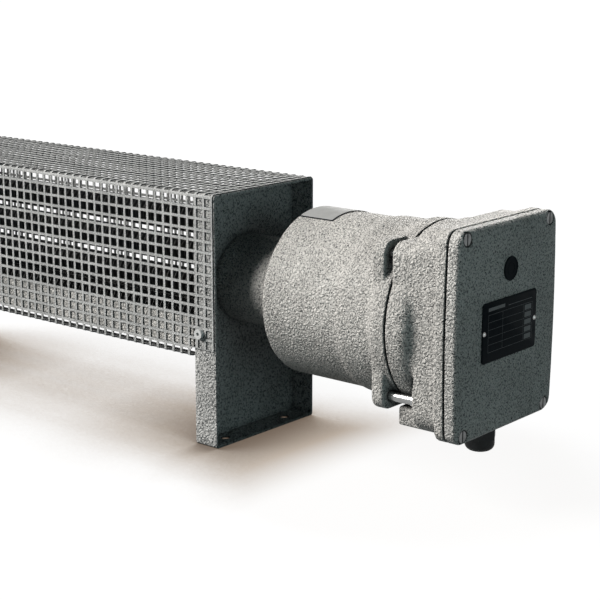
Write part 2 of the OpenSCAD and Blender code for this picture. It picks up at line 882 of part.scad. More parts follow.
// Four clamps on the rail, level with the conductors
module terminal_blocks() {
    color("beige") for (z = ports) difference() {
        along_x(block_x, axis_z + z, rail_y) linear_extrude(block_t)
            square([block_h, block_w], center = true);
        for (side = [0, 180])
            translate([lead_x, rail_y, axis_z + z]) rotate([0, 0, side])
                translate([0, -block_h / 2 - over, 0]) rotate([-90, 0, 0])
                    cylinder(d = lead_d + 2 * slip, h = block_entry + over);
        for (sy = [-1, 1])
            turned_x(block_x + block_t - block_slot_h, axis_z + z,
                rail_y + sy * block_screw_y)
                cylinder(d = block_slot_d + 2 * fit, h = block_slot_h + over);
    }
}

module terminal_screws() {
    color("silver") for (z = ports, sy = [-1, 1])
        turned_x(block_x + block_t - block_slot_h, axis_z + z,
            rail_y + sy * block_screw_y) difference() {
            cylinder(d = block_slot_d, h = block_slot_h / 2);
            translate([0, 0, block_slot_h / 2])
                cube([block_slot_d + over, tab_t, tab_t], center = true);
        }
}

// Earth stud with its cup washer and nut
module earth_terminal() {
    color("goldenrod") turned_x(inner_x, axis_z - earth_z, -earth_y) {
        cylinder(d = earth_d, h = earth_len);
        cylinder(d = earth_washer_d, h = earth_washer_t);
        translate([0, 0, earth_washer_t]) hexagon(nut_af, nut_h);
    }
}

// Seal between box and cover, seen as the dark seam
module cover_gasket() {
    color("black") along_x(seam_x, axis_z) difference() {
        linear_extrude(gasket_t) barrel(ring_inset);
        translate([0, 0, -over]) linear_extrude(gasket_t + 2 * over)
            round_rect(inside_w, inside_h, box_corner - box_wall);
        for (sy = [-1, 1], sz = [-1, 1])
            translate([sy * cover_screw_y, sz * cover_screw_z, -over])
                cylinder(d = cover_screw_d + 2 * slip, h = gasket_t + 2 * over);
    }
}

// Cover casting with softened edges, a crowned face, a register lip inside
// and a counterbore for each screw
module terminal_cover() {
    lip_w = inside_w - 2 * slip;
    lip_h = inside_h - 2 * slip;
    lip_r = box_corner - box_wall - slip;
    color("dimgray") difference() {
        union() {
            along_x(cover_x, axis_z) hull() {
                linear_extrude(cover_t - edge_depth - crown_depth) barrel();
                linear_extrude(cover_t - crown_depth) barrel(edge_chamfer);
                linear_extrude(cover_t) barrel(crown_inset);
            }
            along_x(cover_x - cover_lip, axis_z) linear_extrude(cover_lip + over)
                round_rect(lip_w, lip_h, lip_r);
        }
        along_x(cover_x - cover_lip - over, axis_z)
            linear_extrude(cover_lip + cover_t - cover_roof + over)
                round_rect(lip_w - 2 * cover_lip_wall, lip_h - 2 * cover_lip_wall,
                    lip_r - cover_lip_wall);
        cover_screw_places(cover_x - over)
            cylinder(d = cover_screw_d + 2 * slip, h = cover_t + 2 * over);
        cover_screw_places(front_x - crown_depth - recess_h)
            cylinder(d = recess_d, h = recess_h + crown_depth + over);
        for (sy = [-1, 1])
            turned_x(front_x - rivet_grip - slip, axis_z, sy * rivet_y)
                cylinder(d = rivet_d / 2 + 2 * fit, h = rivet_grip + slip + over);
    }
}

// Slotted cheese-head screws of the cover
module cover_screws() {
    seat_x = front_x - crown_depth - recess_h;
    color("gainsboro") {
        cover_screw_places(seat_x) difference() {
            cylinder(d = screw_head_d, h = screw_head_h);
            translate([0, 0, screw_head_h])
                cube([screw_head_d + over, screw_slot_w, 2 * screw_slot_h], center = true);
        }
        cover_screw_places(seam_x - screw_grip)
            cylinder(d = cover_screw_d, h = seat_x - seam_x + screw_grip);
    }
}

module rating_plate() {
    color("black") along_x(front_x, axis_z) difference() {
        linear_extrude(plate_t) round_rect(plate_w, plate_h, plate_r);
        for (sy = [-1, 1])
            translate([sy * rivet_y, 0, -over])
                cylinder(d = rivet_d / 2 + 2 * fit, h = plate_t + 2 * over);
    }
}

// Domed rivets through the rating plate
module plate_rivets() {
    dome_r = (rivet_d * rivet_d / 4 + rivet_h * rivet_h) / (2 * rivet_h);
    color("silver") for (sy = [-1, 1])
        turned_x(front_x + plate_t, axis_z, sy * rivet_y) {
            intersection() {
                translate([0, 0, rivet_h - dome_r]) sphere(r = dome_r);
                cylinder(d = rivet_d, h = rivet_h);
            }
            translate([0, 0, -plate_t - rivet_grip])
                cylinder(d = rivet_d / 2, h = plate_t + rivet_grip);
        }
}

module round_badge() {
    color("black") turned_x(front_x, axis_z + badge_up)
        cylinder(d = badge_d, h = badge_t);
}

// Stopping plug of the unused entry, with a hexagon socket
module entry_plug() {
    color("gray") translate([entry_x, -entry_y, pad_z]) difference() {
        union() {
            cylinder(d = entry_d, h = plug_len);
            translate([0, 0, -plug_flange]) cylinder(d = washer_d, h = plug_flange);
        }
        translate([0, 0, -plug_flange - over])
            hexagon(plug_socket_d, plug_socket_h + over);
    }
}

// Heights of the gland's pieces, measured down from the pad
washer_z = pad_z - washer_t;
hex_z = washer_z - gland_hex_h;
neck_z = hex_z - gland_neck_h;
nut_top = hex_z - nut_gap;
nut_low = nut_top - nut_hex_h - nut_dome_h;

module gland_place(z) {
    translate([entry_x, entry_y, z]) children();
}

module gland_washer() {
    color("dimgray") gland_place(washer_z) difference() {
        cylinder(d = washer_d, h = washer_t);
        translate([0, 0, -over]) cylinder(d = entry_d + 2 * slip, h = washer_t + 2 * over);
    }
}

module gland_body() {
    color("black") difference() {
        union() {
            gland_place(washer_z) cylinder(d = entry_d, h = washer_t + gland_thread);
            gland_place(hex_z) hexagon(gland_af, gland_hex_h);
            gland_place(neck_z) cylinder(d = gland_neck_d, h = gland_neck_h);
        }
        gland_place(neck_z - over)
            cylinder(d = gland_bore, h = pad_z + gland_thread - neck_z + 2 * over);
    }
}

// Rubber seal in the mouth of the gland body
module gland_seal() {
    color("dimgray") gland_place(neck_z) difference() {
        cylinder(d = gland_bore - 2 * fit, h = seal_len);
        translate([0, 0, -over]) cylinder(d = cable_bore, h = seal_len + 2 * over);
    }
}

module gland_slip_ring() {
    color("white") gland_place(neck_z - face_gap - slip_ring_t) difference() {
        cylinder(d = gland_neck_d, h = slip_ring_t);
        translate([0, 0, -over]) cylinder(d = nut_mouth_d, h = slip_ring_t + 2 * over);
    }
}

// Dome nut: a hexagon above a rounded nose, open for the cable
module gland_dome_nut() {
    bore_r = gland_neck_d / 2 + fit;
    nose_r = nut_mouth_d / 2;
    floor_z = neck_z - slip_ring_t - 2 * face_gap;
    round_r = min(nut_dome_h, gland_af / 2 - nose_r - nut_mouth_rim);
    color("black") gland_place(0) difference() {
        union() {
            translate([0, 0, nut_top - nut_hex_h]) hexagon(gland_af, nut_hex_h);
            translate([0, 0, nut_low]) rotate_extrude() polygon(concat(
                [[0, 0]],
                arc_points(gland_af / 2 - round_r, round_r, round_r, -90, 0),
                [[gland_af / 2, nut_dome_h], [0, nut_dome_h]]));
        }
        translate([0, 0, floor_z]) cylinder(r = bore_r, h = nut_top - floor_z + over);
        translate([0, 0, nut_low - over])
            cylinder(r = nose_r, h = floor_z - nut_low + 2 * over);
    }
}

end_bracket_right();
end_bracket_left();
mesh_guard();
guard_rail_front();
guard_rail_rear();
guard_screws();
guard_nuts();
upper_element();
lower_element();
element_support();
support_screws();
support_nuts();
header_plate();
limit_thermostat();
element_insulators();
element_pins();
neck_tube();
flameproof_housing();
housing_label();
joint_ring();
flange_bolts();
terminal_box();
lead_bushing();
internal_leads();
din_rail();
rail_screws();
terminal_blocks();
terminal_screws();
earth_terminal();
cover_gasket();
terminal_cover();
cover_screws();
rating_plate();
plate_rivets();
round_badge();
entry_plug();
gland_washer();
gland_body();
gland_seal();
gland_slip_ring();
gland_dome_nut();
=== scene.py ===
"""Dresses the explosion-proof heater: finned elements in a perforated guard on two folded
brackets, a neck tube, a round cast housing and a bolted terminal box with a cable gland."""
import json
import math

import bmesh
import bpy
from mathutils import Matrix, Vector


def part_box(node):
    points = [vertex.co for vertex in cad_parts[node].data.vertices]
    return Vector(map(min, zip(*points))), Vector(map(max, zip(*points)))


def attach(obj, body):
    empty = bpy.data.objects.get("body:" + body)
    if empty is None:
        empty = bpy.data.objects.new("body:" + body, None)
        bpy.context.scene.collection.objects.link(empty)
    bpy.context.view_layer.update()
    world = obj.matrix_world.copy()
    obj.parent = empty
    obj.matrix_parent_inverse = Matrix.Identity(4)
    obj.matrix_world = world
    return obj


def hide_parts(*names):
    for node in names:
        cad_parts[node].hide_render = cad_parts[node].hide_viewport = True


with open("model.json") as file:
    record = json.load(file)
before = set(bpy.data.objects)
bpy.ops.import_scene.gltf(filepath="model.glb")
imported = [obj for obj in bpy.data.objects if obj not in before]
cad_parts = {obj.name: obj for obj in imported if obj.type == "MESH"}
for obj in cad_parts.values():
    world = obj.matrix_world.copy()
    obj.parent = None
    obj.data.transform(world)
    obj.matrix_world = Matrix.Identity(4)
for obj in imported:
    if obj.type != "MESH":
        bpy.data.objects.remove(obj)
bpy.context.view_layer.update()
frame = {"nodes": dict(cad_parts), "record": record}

bl_info = {
    "name": "Explosion-proof heater",
    "version": (1, 0, 0),
    "blender": (4, 5, 0),
    "location": "3D View > Sidebar > Heater",
    "description": "Builds the heater's sheet, castings, finned tubes, plates and finishes",
    "category": "Object",
}

MM = 0.001
BODY = "heater"
WELD, SLIVER, CRISP = 0.002, 0.001, 35.0
LEAST_RADIUS = 0.02
ROD_SIDES = 32
# The cover screws take a darker copy of the fastener finish: dull zinc, darkened further as painted
# shade for the cover's shaded face.
SCREW_FINISH = {"cover_screws": "screw_dull_and_shade", "guard_screws": "screw_bright"}


# Places in the frame

def span(node):
    """Lowest and highest corner of a CAD node, in millimetres."""
    low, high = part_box(node)
    return [c / MM for c in low], [c / MM for c in high]


def middle(node):
    """Centre of a CAD node's box, in millimetres."""
    low, high = span(node)
    return [(a + b) / 2 for a, b in zip(low, high)]


AXIS_Z = middle("neck_tube")[2]


# Mesh helpers

def settings(name):
    """One of the property groups on the scene."""
    return getattr(bpy.context.scene, name)


def shade(shape, degrees):
    """Smooth faces, with open edges and those sharper than degrees left crisp."""
    limit = math.radians(degrees)
    for face in shape.faces:
        face.smooth = True
    for edge in shape.edges:
        edge.smooth = len(edge.link_faces) == 2 and edge.calc_face_angle(0.0) < limit


def add_mesh(name, points, faces, smooth=CRISP):
    """A mesh object from points in millimetres."""
    mesh = bpy.data.meshes.new(name)
    mesh.from_pydata([(x * MM, y * MM, z * MM) for x, y, z in points], [], faces)
    return add_object(name, mesh, smooth)


def add_object(name, mesh, smooth=CRISP):
    """Welds and shades a mesh and puts it in the scene."""
    shape = bmesh.new()
    shape.from_mesh(mesh)
    bmesh.ops.remove_doubles(shape, verts=shape.verts, dist=WELD * MM)
    bmesh.ops.dissolve_degenerate(shape, edges=shape.edges, dist=SLIVER * MM)
    bmesh.ops.recalc_face_normals(shape, faces=shape.faces)
    shade(shape, smooth)
    shape.to_mesh(mesh)
    shape.free()
    piece = bpy.data.objects.new(name, mesh)
    bpy.context.scene.collection.objects.link(piece)
    return piece


def settle(piece, smooth=None):
    """Makes the modifiers of a piece final."""
    graph = bpy.context.evaluated_depsgraph_get()
    mesh = bpy.data.meshes.new_from_object(piece.evaluated_get(graph))
    piece.modifiers.clear()
    old = piece.data
    piece.data = mesh
    bpy.data.meshes.remove(old)
    if smooth is not None:
        shape = bmesh.new()
        shape.from_mesh(mesh)
        shade(shape, smooth)
        shape.to_mesh(mesh)
        shape.free()


def finish_piece(piece, material, slot, *nodes):
    """Gives a piece its material, lets it ride, and hides the CAD nodes it stands for. The slot
    argument is not used.
    """
    piece.data.materials.clear()
    for entry in (material if isinstance(material, (list, tuple)) else [material]):
        piece.data.materials.append(entry)
    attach(piece, BODY)
    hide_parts(*nodes)


def loft(rings, closed=True, cap_start=False, cap_end=False):
    """Faces between rings of equal length, given as one list of points."""
    count = len(rings[0])
    points = [p for ring in rings for p in ring]
    faces = []
    last = count if closed else count - 1
    for r in range(len(rings) - 1):
        a, b = r * count, (r + 1) * count
        for i in range(last):
            j = (i + 1) % count
            faces.append((a + i, a + j, b + j, b + i))
    if cap_start:
        faces.append(tuple(range(count))[::-1])
    if cap_end:
        base = (len(rings) - 1) * count
        faces.append(tuple(range(base, base + count)))
    return points, faces


def merge(parts):
    """Joins (points, faces) pairs into one."""
    points, faces = [], []
    for some, more in parts:
        base = len(points)
        points += some
        faces += [tuple(base + i for i in face) for face in more]
    return points, faces


def round_rect(half_w, half_h, radius, sides, arc=6):
    """Points round a rectangle with round corners, centred on zero."""
    radius = max(radius, LEAST_RADIUS)
    points = []
    corners = ((1, 1, 0), (-1, 1, 90), (-1, -1, 180), (1, -1, 270))
    for n, (sx, sy, start) in enumerate(corners):
        cx, cy = sx * (half_w - radius), sy * (half_h - radius)
        for k in range(arc + 1):
            a = math.radians(start + 90 * k / arc)
            points.append((cx + radius * math.cos(a), cy + radius * math.sin(a)))
        ex, ey = points[-1]
        tx, ty = corners[(n + 1) % 4][:2]
        a = math.radians(corners[(n + 1) % 4][2])
        nx = tx * (half_w - radius) + radius * math.cos(a)
        ny = ty * (half_h - radius) + radius * math.sin(a)
        for k in range(1, sides):
            t = k / sides
            points.append((ex + (nx - ex) * t, ey + (ny - ey) * t))
    return points


def tube_along(path, radius, sides=20):
    """A round tube along points in the X-Z plane."""
    rings = []
    for n, (x, y, z) in enumerate(path):
        before = Vector(path[max(n - 1, 0)])
        after = Vector(path[min(n + 1, len(path) - 1)])
        along = (after - before).normalized()
        side = Vector((0, 1, 0))
        up = along.cross(side).normalized()
        rings.append([tuple(Vector((x, y, z)) + radius * (
            math.cos(2 * math.pi * k / sides) * side + math.sin(2 * math.pi * k / sides) * up))
            for k in range(sides)])
    return loft(rings, cap_start=True, cap_end=True)


def cut_rods(piece, rods):
    """Cuts round holes: rods are (start, end, radius) in millimetres."""
    cutters = []
    for n, (start, end, radius) in enumerate(rods):
        shape = bmesh.new()
        along = Vector(end) - Vector(start)
        bmesh.ops.create_cone(shape, cap_ends=True, segments=ROD_SIDES, radius1=radius * MM,
                              radius2=radius * MM, depth=along.length * MM)
        turn = Vector((0, 0, 1)).rotation_difference(along)
        shape.transform(Matrix.Translation((Vector(start) + Vector(end)) / 2 * MM)
                        @ turn.to_matrix().to_4x4())
        mesh = bpy.data.meshes.new("cutter")
        shape.to_mesh(mesh)
        shape.free()
        cutter = bpy.data.objects.new("cutter_%d" % n, mesh)
        bpy.context.scene.collection.objects.link(cutter)
        cut = piece.modifiers.new("hole", "BOOLEAN")
        cut.operation, cut.solver, cut.object = "DIFFERENCE", "EXACT", cutter
        cutters.append(cutter)
    settle(piece, CRISP)
    for cutter in cutters:
        mesh = cutter.data
        bpy.data.objects.remove(cutter)
        bpy.data.meshes.remove(mesh)


# Sizes and colours

class HeaterSheet(bpy.types.PropertyGroup):
    pitch: bpy.props.FloatProperty(
        name="Hole pitch", description="Distance between the guard's holes",
        default=10 * MM, min=6 * MM, unit="LENGTH")
    hole: bpy.props.FloatProperty(
        name="Hole", description="Width of a square hole in the guard",
        default=7.5 * MM, min=3 * MM, unit="LENGTH")
    fold: bpy.props.FloatProperty(
        name="Bracket fold", description="Outer radius where a bracket's web turns into its flange",
        default=3 * MM, min=2.2 * MM, unit="LENGTH")
    fin_pitch: bpy.props.FloatProperty(
        name="Fin pitch", description="Lead of the wound fin ribbon",
        default=5 * MM, min=3 * MM, unit="LENGTH")


class HeaterCasting(bpy.types.PropertyGroup):
    grain: bpy.props.FloatProperty(
        name="Skin step", description="Step of the net that rounds the castings",
        default=1.0 * MM, min=0.7 * MM, unit="LENGTH")
    rounding: bpy.props.IntProperty(
        name="Rounding", description="Passes that soften the castings' edges",
        default=4, min=0, max=30)
    keep: bpy.props.FloatProperty(
        name="Face share", description="Share of the net's faces that is kept",
        default=0.22, min=0.05, max=1.0, subtype="FACTOR")


class HeaterPaint(bpy.types.PropertyGroup):
    cell: bpy.props.FloatProperty(
        name="Hammer cell", description="Size of one cell of the hammertone paint",
        default=3.1 * MM, min=1 * MM, unit="LENGTH")
    casting: bpy.props.FloatVectorProperty(
        name="Casting paint", description="Light part of the paint on castings",
        default=(0.690, 0.667, 0.632), subtype="COLOR", min=0, max=1)
    cover: bpy.props.FloatVectorProperty(
        name="Cover paint", description="Light part of the paint on the cover",
        default=(0.670, 0.655, 0.625), subtype="COLOR", min=0, max=1)
    bracket: bpy.props.FloatVectorProperty(
        name="Bracket paint", description="Light part of the paint on the folded brackets",
        default=(0.560, 0.555, 0.540), subtype="COLOR", min=0, max=1)
    guard: bpy.props.FloatVectorProperty(
        name="Guard zinc", description="Colour of the perforated sheet",
        default=(0.620, 0.620, 0.610), subtype="COLOR", min=0, max=1)
    speck: bpy.props.FloatVectorProperty(
        name="Speck", description="Dark veins and specks of the hammertone paint",
        default=(0.045, 0.050, 0.052), subtype="COLOR", min=0, max=1)


class HeaterStage(bpy.types.PropertyGroup):
    key: bpy.props.FloatProperty(
        name="Key light", description="Level of the soft light from the front left",
        default=1.36, min=0)
    fill: bpy.props.FloatProperty(
        name="Fill", description="Level of the light from all round",
        default=0.019, min=0)
    back: bpy.props.FloatProperty(
        name="Back light", description="Level of the weak light on the far side",
        default=0.30, min=0)
    side: bpy.props.FloatProperty(
        name="Side light", description="Level of the cool light on the terminal cover",
        default=0.122, min=0)
    softness: bpy.props.FloatProperty(
        name="Softness", description="Angle that the key light covers",
        default=math.radians(33), subtype="ANGLE")
    azimuth: bpy.props.FloatProperty(
        name="Camera azimuth", description="Camera's turn from the front towards the terminal box",
        default=math.radians(39.835), subtype="ANGLE")
    elevation: bpy.props.FloatProperty(
        name="Camera elevation", description="Camera's height angle",
        default=math.radians(13.439), subtype="ANGLE")
    distance: bpy.props.FloatProperty(
        name="Camera distance", description="Distance from the camera to its target",
        default=1440.7 * MM, unit="LENGTH")
    lens: bpy.props.FloatProperty(
        name="Lens", description="Focal length of the camera in millimetres",
        default=95.46, min=10)


# Shader groups and materials

# The first of these is the reach of the painted shade in creases, in millimetres.
CREASE_SHADE_REACH, HAMMER_RISE, GRAIN_RISE = 9.0, 0.9, 0.2
BOUNCE_TONE = (0.10, 0.12, 0.125, 1)


def node_group(name, inputs, outputs):
    """A shader group with its sockets, and its input and output nodes."""
    group = bpy.data.node_groups.new(name, "ShaderNodeTree")
    for label, kind, value in inputs:
        entry = group.interface.new_socket(name=label, in_out="INPUT", socket_type=kind)
        entry.default_value = value
    for label, kind in outputs:
        group.interface.new_socket(name=label, in_out="OUTPUT", socket_type=kind)
    return group, group.nodes.new("NodeGroupInput"), group.nodes.new("NodeGroupOutput")


def add_node(tree, kind, links=(), **values):
    """Adds a node; links are (socket, source) pairs and values are its attributes."""
    node = tree.nodes.new(kind)
    for key, value in values.items():
        setattr(node, key, value)
    for socket, source in links:
        if isinstance(source, bpy.types.NodeSocket):
            tree.links.new(source, node.inputs[socket])
        else:
            node.inputs[socket].default_value = source
    return node


def calc(tree, operation, *sources):
    """The value that a Math node gives."""
    return add_node(tree, "ShaderNodeMath", list(enumerate(sources)), operation=operation).outputs[0]


def ramp(tree, source, low, high, to_low=0.0, to_high=1.0):
    """A value eased from low..high to to_low..to_high."""
    return add_node(tree, "ShaderNodeMapRange", (
        ("Value", source), ("From Min", low), ("From Max", high), ("To Min", to_low),
        ("To Max", to_high)), interpolation_type="SMOOTHSTEP").outputs[0]


def blend_colour(tree, share, low, high):
    """A colour between low and high."""
    node = add_node(tree, "ShaderNodeMix", ((0, share), (6, low), (7, high)), data_type="RGBA")
    return node.outputs[2]


def hammertone_group():
    """Pillowed cells with dark veins and specks, as on hammertone paint, and painted shade that
    darkens the paint in creases.
    """
    tree, given, out = node_group("hammertone", (
        ("Cell", "NodeSocketFloat", 0.0026), ("Light", "NodeSocketColor", (0.45, 0.45, 0.43, 1)),
        ("Dark", "NodeSocketColor", (0.08, 0.08, 0.08, 1)), ("Speck", "NodeSocketFloat", 0.6),
        ("Depth", "NodeSocketFloat", 0.35), ("Gloss", "NodeSocketFloat", 0.38)), (
        ("Color", "NodeSocketColor"), ("Roughness", "NodeSocketFloat"),
        ("Normal", "NodeSocketVector")))
    place = tree.nodes.new("ShaderNodeTexCoord").outputs["Object"]
    per_cell = calc(tree, "DIVIDE", 1.0, given.outputs["Cell"])
    cells = add_node(tree, "ShaderNodeVectorMath", ((0, place), ("Scale", per_cell)),
                     operation="SCALE").outputs[0]
    warp = add_node(tree, "ShaderNodeTexNoise", (
        ("Vector", cells), ("Scale", 0.9), ("Detail", 2.0))).outputs["Color"]
    bent = add_node(tree, "ShaderNodeVectorMath", ((0, warp), (1, (0.5, 0.5, 0.5))),
                    operation="SUBTRACT").outputs[0]
    bent = add_node(tree, "ShaderNodeVectorMath", ((0, bent), (1, (1.5, 1.5, 1.5)), (2, cells)),
                    operation="MULTIPLY_ADD").outputs[0]
    edge = add_node(tree, "ShaderNodeTexVoronoi", (("Vector", bent), ("Scale", 1.0)),
                    feature="DISTANCE_TO_EDGE").outputs["Distance"]
    fine = add_node(tree, "ShaderNodeTexNoise", (
        ("Vector", cells), ("Scale", 2.1), ("Detail", 3.0))).outputs[0]
    broad = add_node(tree, "ShaderNodeTexNoise", (
        ("Vector", cells), ("Scale", 0.07), ("Detail", 2.0))).outputs[0]
    dots = add_node(tree, "ShaderNodeTexVoronoi", (("Vector", bent), ("Scale", 1.25)),
                    feature="F1").outputs["Distance"]
    vein = calc(tree, "MULTIPLY", ramp(tree, edge, 0.02, 0.17, to_low=0.85, to_high=0.0),
                ramp(tree, fine, 0.42, 0.60))
    speck = ramp(tree, dots, 0.12, 0.36, to_low=1.0, to_high=0.0)
    mask = calc(tree, "MULTIPLY", calc(tree, "MAXIMUM", vein, speck), given.outputs["Speck"])
    # Painted shade: ambient occlusion darkens the paint's light part in creases and hollows, down to
    # 0.3 of it; level carries this shade together with the broad random tone.
    crease_shade_ao = add_node(tree, "ShaderNodeAmbientOcclusion", (
        ("Distance", CREASE_SHADE_REACH * MM),), samples=8).outputs["AO"]
    level = calc(tree, "MULTIPLY", ramp(tree, broad, 0.3, 0.7, to_low=0.90, to_high=1.08),
                 ramp(tree, crease_shade_ao, 0.30, 0.92, to_low=0.30))
    light = add_node(tree, "ShaderNodeVectorMath", (
        (0, given.outputs["Light"]), ("Scale", level)), operation="SCALE").outputs[0]
    colour = blend_colour(tree, mask, light, given.outputs["Dark"])
    height = calc(tree, "SUBTRACT", ramp(tree, edge, 0.0, 0.4), calc(tree, "MULTIPLY", fine, 0.35))
    bump = add_node(tree, "ShaderNodeBump", (
        ("Strength", given.outputs["Depth"]), ("Distance", HAMMER_RISE * MM),
        ("Height", height))).outputs[0]
    rough = calc(tree, "ADD", given.outputs["Gloss"], calc(tree, "MULTIPLY", mask, 0.18))
    for label, source in (("Color", colour), ("Roughness", rough), ("Normal", bump)):
        tree.links.new(source, out.inputs[label])
    return tree


def grain_group():
    """Fine grain, soft cloudiness and scuffs for metal, rubber and moulded plastic."""
    tree, given, out = node_group("fine_grain", (
        ("Size", "NodeSocketFloat", 0.001), ("Tone", "NodeSocketColor", (0.5, 0.5, 0.5, 1)),
        ("Scuff", "NodeSocketColor", (0.2, 0.2, 0.2, 1)), ("Amount", "NodeSocketFloat", 0.3),
        ("Depth", "NodeSocketFloat", 0.2), ("Gloss", "NodeSocketFloat", 0.4)), (
        ("Color", "NodeSocketColor"), ("Roughness", "NodeSocketFloat"),
        ("Normal", "NodeSocketVector")))
    place = tree.nodes.new("ShaderNodeTexCoord").outputs["Object"]
    per_grain = calc(tree, "DIVIDE", 1.0, given.outputs["Size"])
    grains = add_node(tree, "ShaderNodeVectorMath", ((0, place), ("Scale", per_grain)),
                      operation="SCALE").outputs[0]
    fine = add_node(tree, "ShaderNodeTexNoise", (
        ("Vector", grains), ("Scale", 1.0), ("Detail", 3.0))).outputs[0]
    cloud = add_node(tree, "ShaderNodeTexNoise", (
        ("Vector", grains), ("Scale", 0.09), ("Detail", 4.0))).outputs[0]
    mask = calc(tree, "MULTIPLY", calc(tree, "ADD", ramp(tree, cloud, 0.42, 0.72),
                                       ramp(tree, fine, 0.5, 0.8, to_high=0.6)),
                given.outputs["Amount"])
    colour = blend_colour(tree, mask, given.outputs["Tone"], given.outputs["Scuff"])
    bump = add_node(tree, "ShaderNodeBump", (
        ("Strength", given.outputs["Depth"]), ("Distance", GRAIN_RISE * MM),
        ("Height", fine))).outputs[0]
    rough = calc(tree, "ADD", given.outputs["Gloss"], calc(tree, "MULTIPLY", mask, 0.25))
    for label, source in (("Color", colour), ("Roughness", rough), ("Normal", bump)):
        tree.links.new(source, out.inputs[label])
    return tree


def new_material(name, group, values, metallic=0.0, **more):
    """A Principled material whose colour, roughness and normal come from a group; rays that
    bounce off other surfaces see it darker, so that the trays stay deep."""
    material = bpy.data.materials.new(name)
    material.use_nodes = True
    tree = material.node_tree
    shader = tree.nodes["Principled BSDF"]
    node = tree.nodes.new("ShaderNodeGroup")
    node.node_tree = group
    for label, value in values.items():
        node.inputs[label].default_value = (*value, 1) if isinstance(value, tuple) else value
    bounced = tree.nodes.new("ShaderNodeLightPath").outputs["Is Diffuse Ray"]
    colour = blend_colour(tree, bounced, node.outputs["Color"], BOUNCE_TONE)
    tree.links.new(colour, shader.inputs["Base Color"])
    tree.links.new(node.outputs["Roughness"], shader.inputs["Roughness"])
    tree.links.new(node.outputs["Normal"], shader.inputs["Normal"])
    shader.inputs["Metallic"].default_value = metallic
    for label, value in more.items():
        shader.inputs[label.replace("_", " ")].default_value = value
    return material


def finish_of(slot):
    """The material of a slot, built on first use."""
    found = bpy.data.materials.get("heater_" + slot)
    if found:
        return found
    hammer = bpy.data.node_groups.get("hammertone") or hammertone_group()
    grain = bpy.data.node_groups.get("fine_grain") or grain_group()
    paint = settings("heater_paint")

    def painted(light, speck, depth, gloss, cell=1.0, level=0.15):
        return new_material("heater_" + slot, hammer, {
            "Cell": paint.cell * cell, "Light": tuple(light), "Dark": tuple(paint.speck),
            "Speck": speck, "Depth": depth, "Gloss": gloss}, Specular_IOR_Level=level)

    def grained(tone, scuff, amount, gloss, size=0.8, depth=0.2, metallic=0.0, **more):
        return new_material("heater_" + slot, grain, {
            "Size": size * MM, "Tone": tone, "Scuff": scuff, "Amount": amount, "Depth": depth,
            "Gloss": gloss}, metallic, **more)

    if slot in ("hammertone", "cast_hammertone"):
        return painted(paint.casting, speck=0.98, depth=0.76, gloss=0.38)
    if slot == "cover_hammertone":
        return painted(paint.cover, speck=1.0, depth=0.80, gloss=0.40)
    if slot == "bracket_paint":
        return painted(paint.bracket, speck=1.0, depth=0.85, gloss=0.44, cell=1.2, level=0.06)
    if slot == "guard_zinc":
        return painted(paint.guard, speck=0.60, depth=0.40, gloss=0.40, cell=0.7)
    finishes = {
        "fastener": dict(tone=(0.74, 0.74, 0.73), scuff=(0.42, 0.41, 0.39), amount=0.45,
                         gloss=0.24, metallic=1.0),
        "element_steel": dict(tone=(0.105, 0.105, 0.105), scuff=(0.060, 0.052, 0.045), amount=0.6,
                              gloss=0.50, metallic=0.6),
        # Hole walls and sheet edges of the guard: bare cut edges, darkened as painted shade so that
        # the holes read black.
        "cut_edge_and_shade": dict(tone=(0.13, 0.14, 0.145), scuff=(0.05, 0.05, 0.05), amount=0.5,
                         gloss=0.50, Specular_IOR_Level=0.1),
        "screw_bright": dict(tone=(0.86, 0.86, 0.85), scuff=(0.60, 0.60, 0.59), amount=0.4,
                             gloss=0.30, metallic=0.25),
        "header_steel": dict(tone=(0.56, 0.56, 0.55), scuff=(0.34, 0.33, 0.31), amount=0.5,
                             gloss=0.36, metallic=1.0),
        "ceramic": dict(tone=(0.80, 0.78, 0.72), scuff=(0.60, 0.57, 0.50), amount=0.4,
                        gloss=0.30, size=0.6),
        "label_metal": dict(tone=(0.50, 0.50, 0.49), scuff=(0.40, 0.40, 0.39), amount=0.5,
                            gloss=0.42, metallic=0.3, size=1.6),
        # Darker fastener finish for the cover screws: dull zinc plus painted shade.
        "screw_dull_and_shade": dict(tone=(0.40, 0.41, 0.41), scuff=(0.14, 0.14, 0.14), amount=0.5,
                           gloss=0.36, metallic=1.0),
        "black_rubber": dict(tone=(0.022, 0.022, 0.023), scuff=(0.06, 0.06, 0.06), amount=0.5,
                             gloss=0.62, size=0.5),
        "resin": dict(tone=(0.30, 0.15, 0.07), scuff=(0.20, 0.09, 0.04), amount=0.6, gloss=0.32),
        "lead_insulation": dict(tone=(0.50, 0.09, 0.05), scuff=(0.36, 0.06, 0.04), amount=0.5,
                                gloss=0.48, size=0.6),
        "terminal_plastic": dict(tone=(0.74, 0.69, 0.56), scuff=(0.62, 0.57, 0.45), amount=0.4,
                                 gloss=0.46),
        "brass": dict(tone=(0.76, 0.57, 0.26), scuff=(0.48, 0.33, 0.13), amount=0.5, gloss=0.28,
                      metallic=1.0),
        "plate_black": dict(tone=(0.010, 0.014, 0.018), scuff=(0.025, 0.030, 0.034), amount=0.5,
                            gloss=0.42, size=0.5, depth=0.12, Specular_IOR_Level=0.03),
        "gland_plastic": dict(tone=(0.020, 0.021, 0.022), scuff=(0.055, 0.056, 0.058), amount=0.4,
                              gloss=0.36, size=0.6, depth=0.15, Specular_IOR_Level=0.3),
        "slip_plastic": dict(tone=(0.78, 0.78, 0.76), scuff=(0.66, 0.66, 0.63), amount=0.4,
                             gloss=0.42),
        "print_grey": dict(tone=(0.16, 0.17, 0.175), scuff=(0.24, 0.25, 0.255), amount=0.5,
                           gloss=0.45, size=0.5),
    }
    return grained(**finishes[slot])


# Operators: finishes and sheet metal

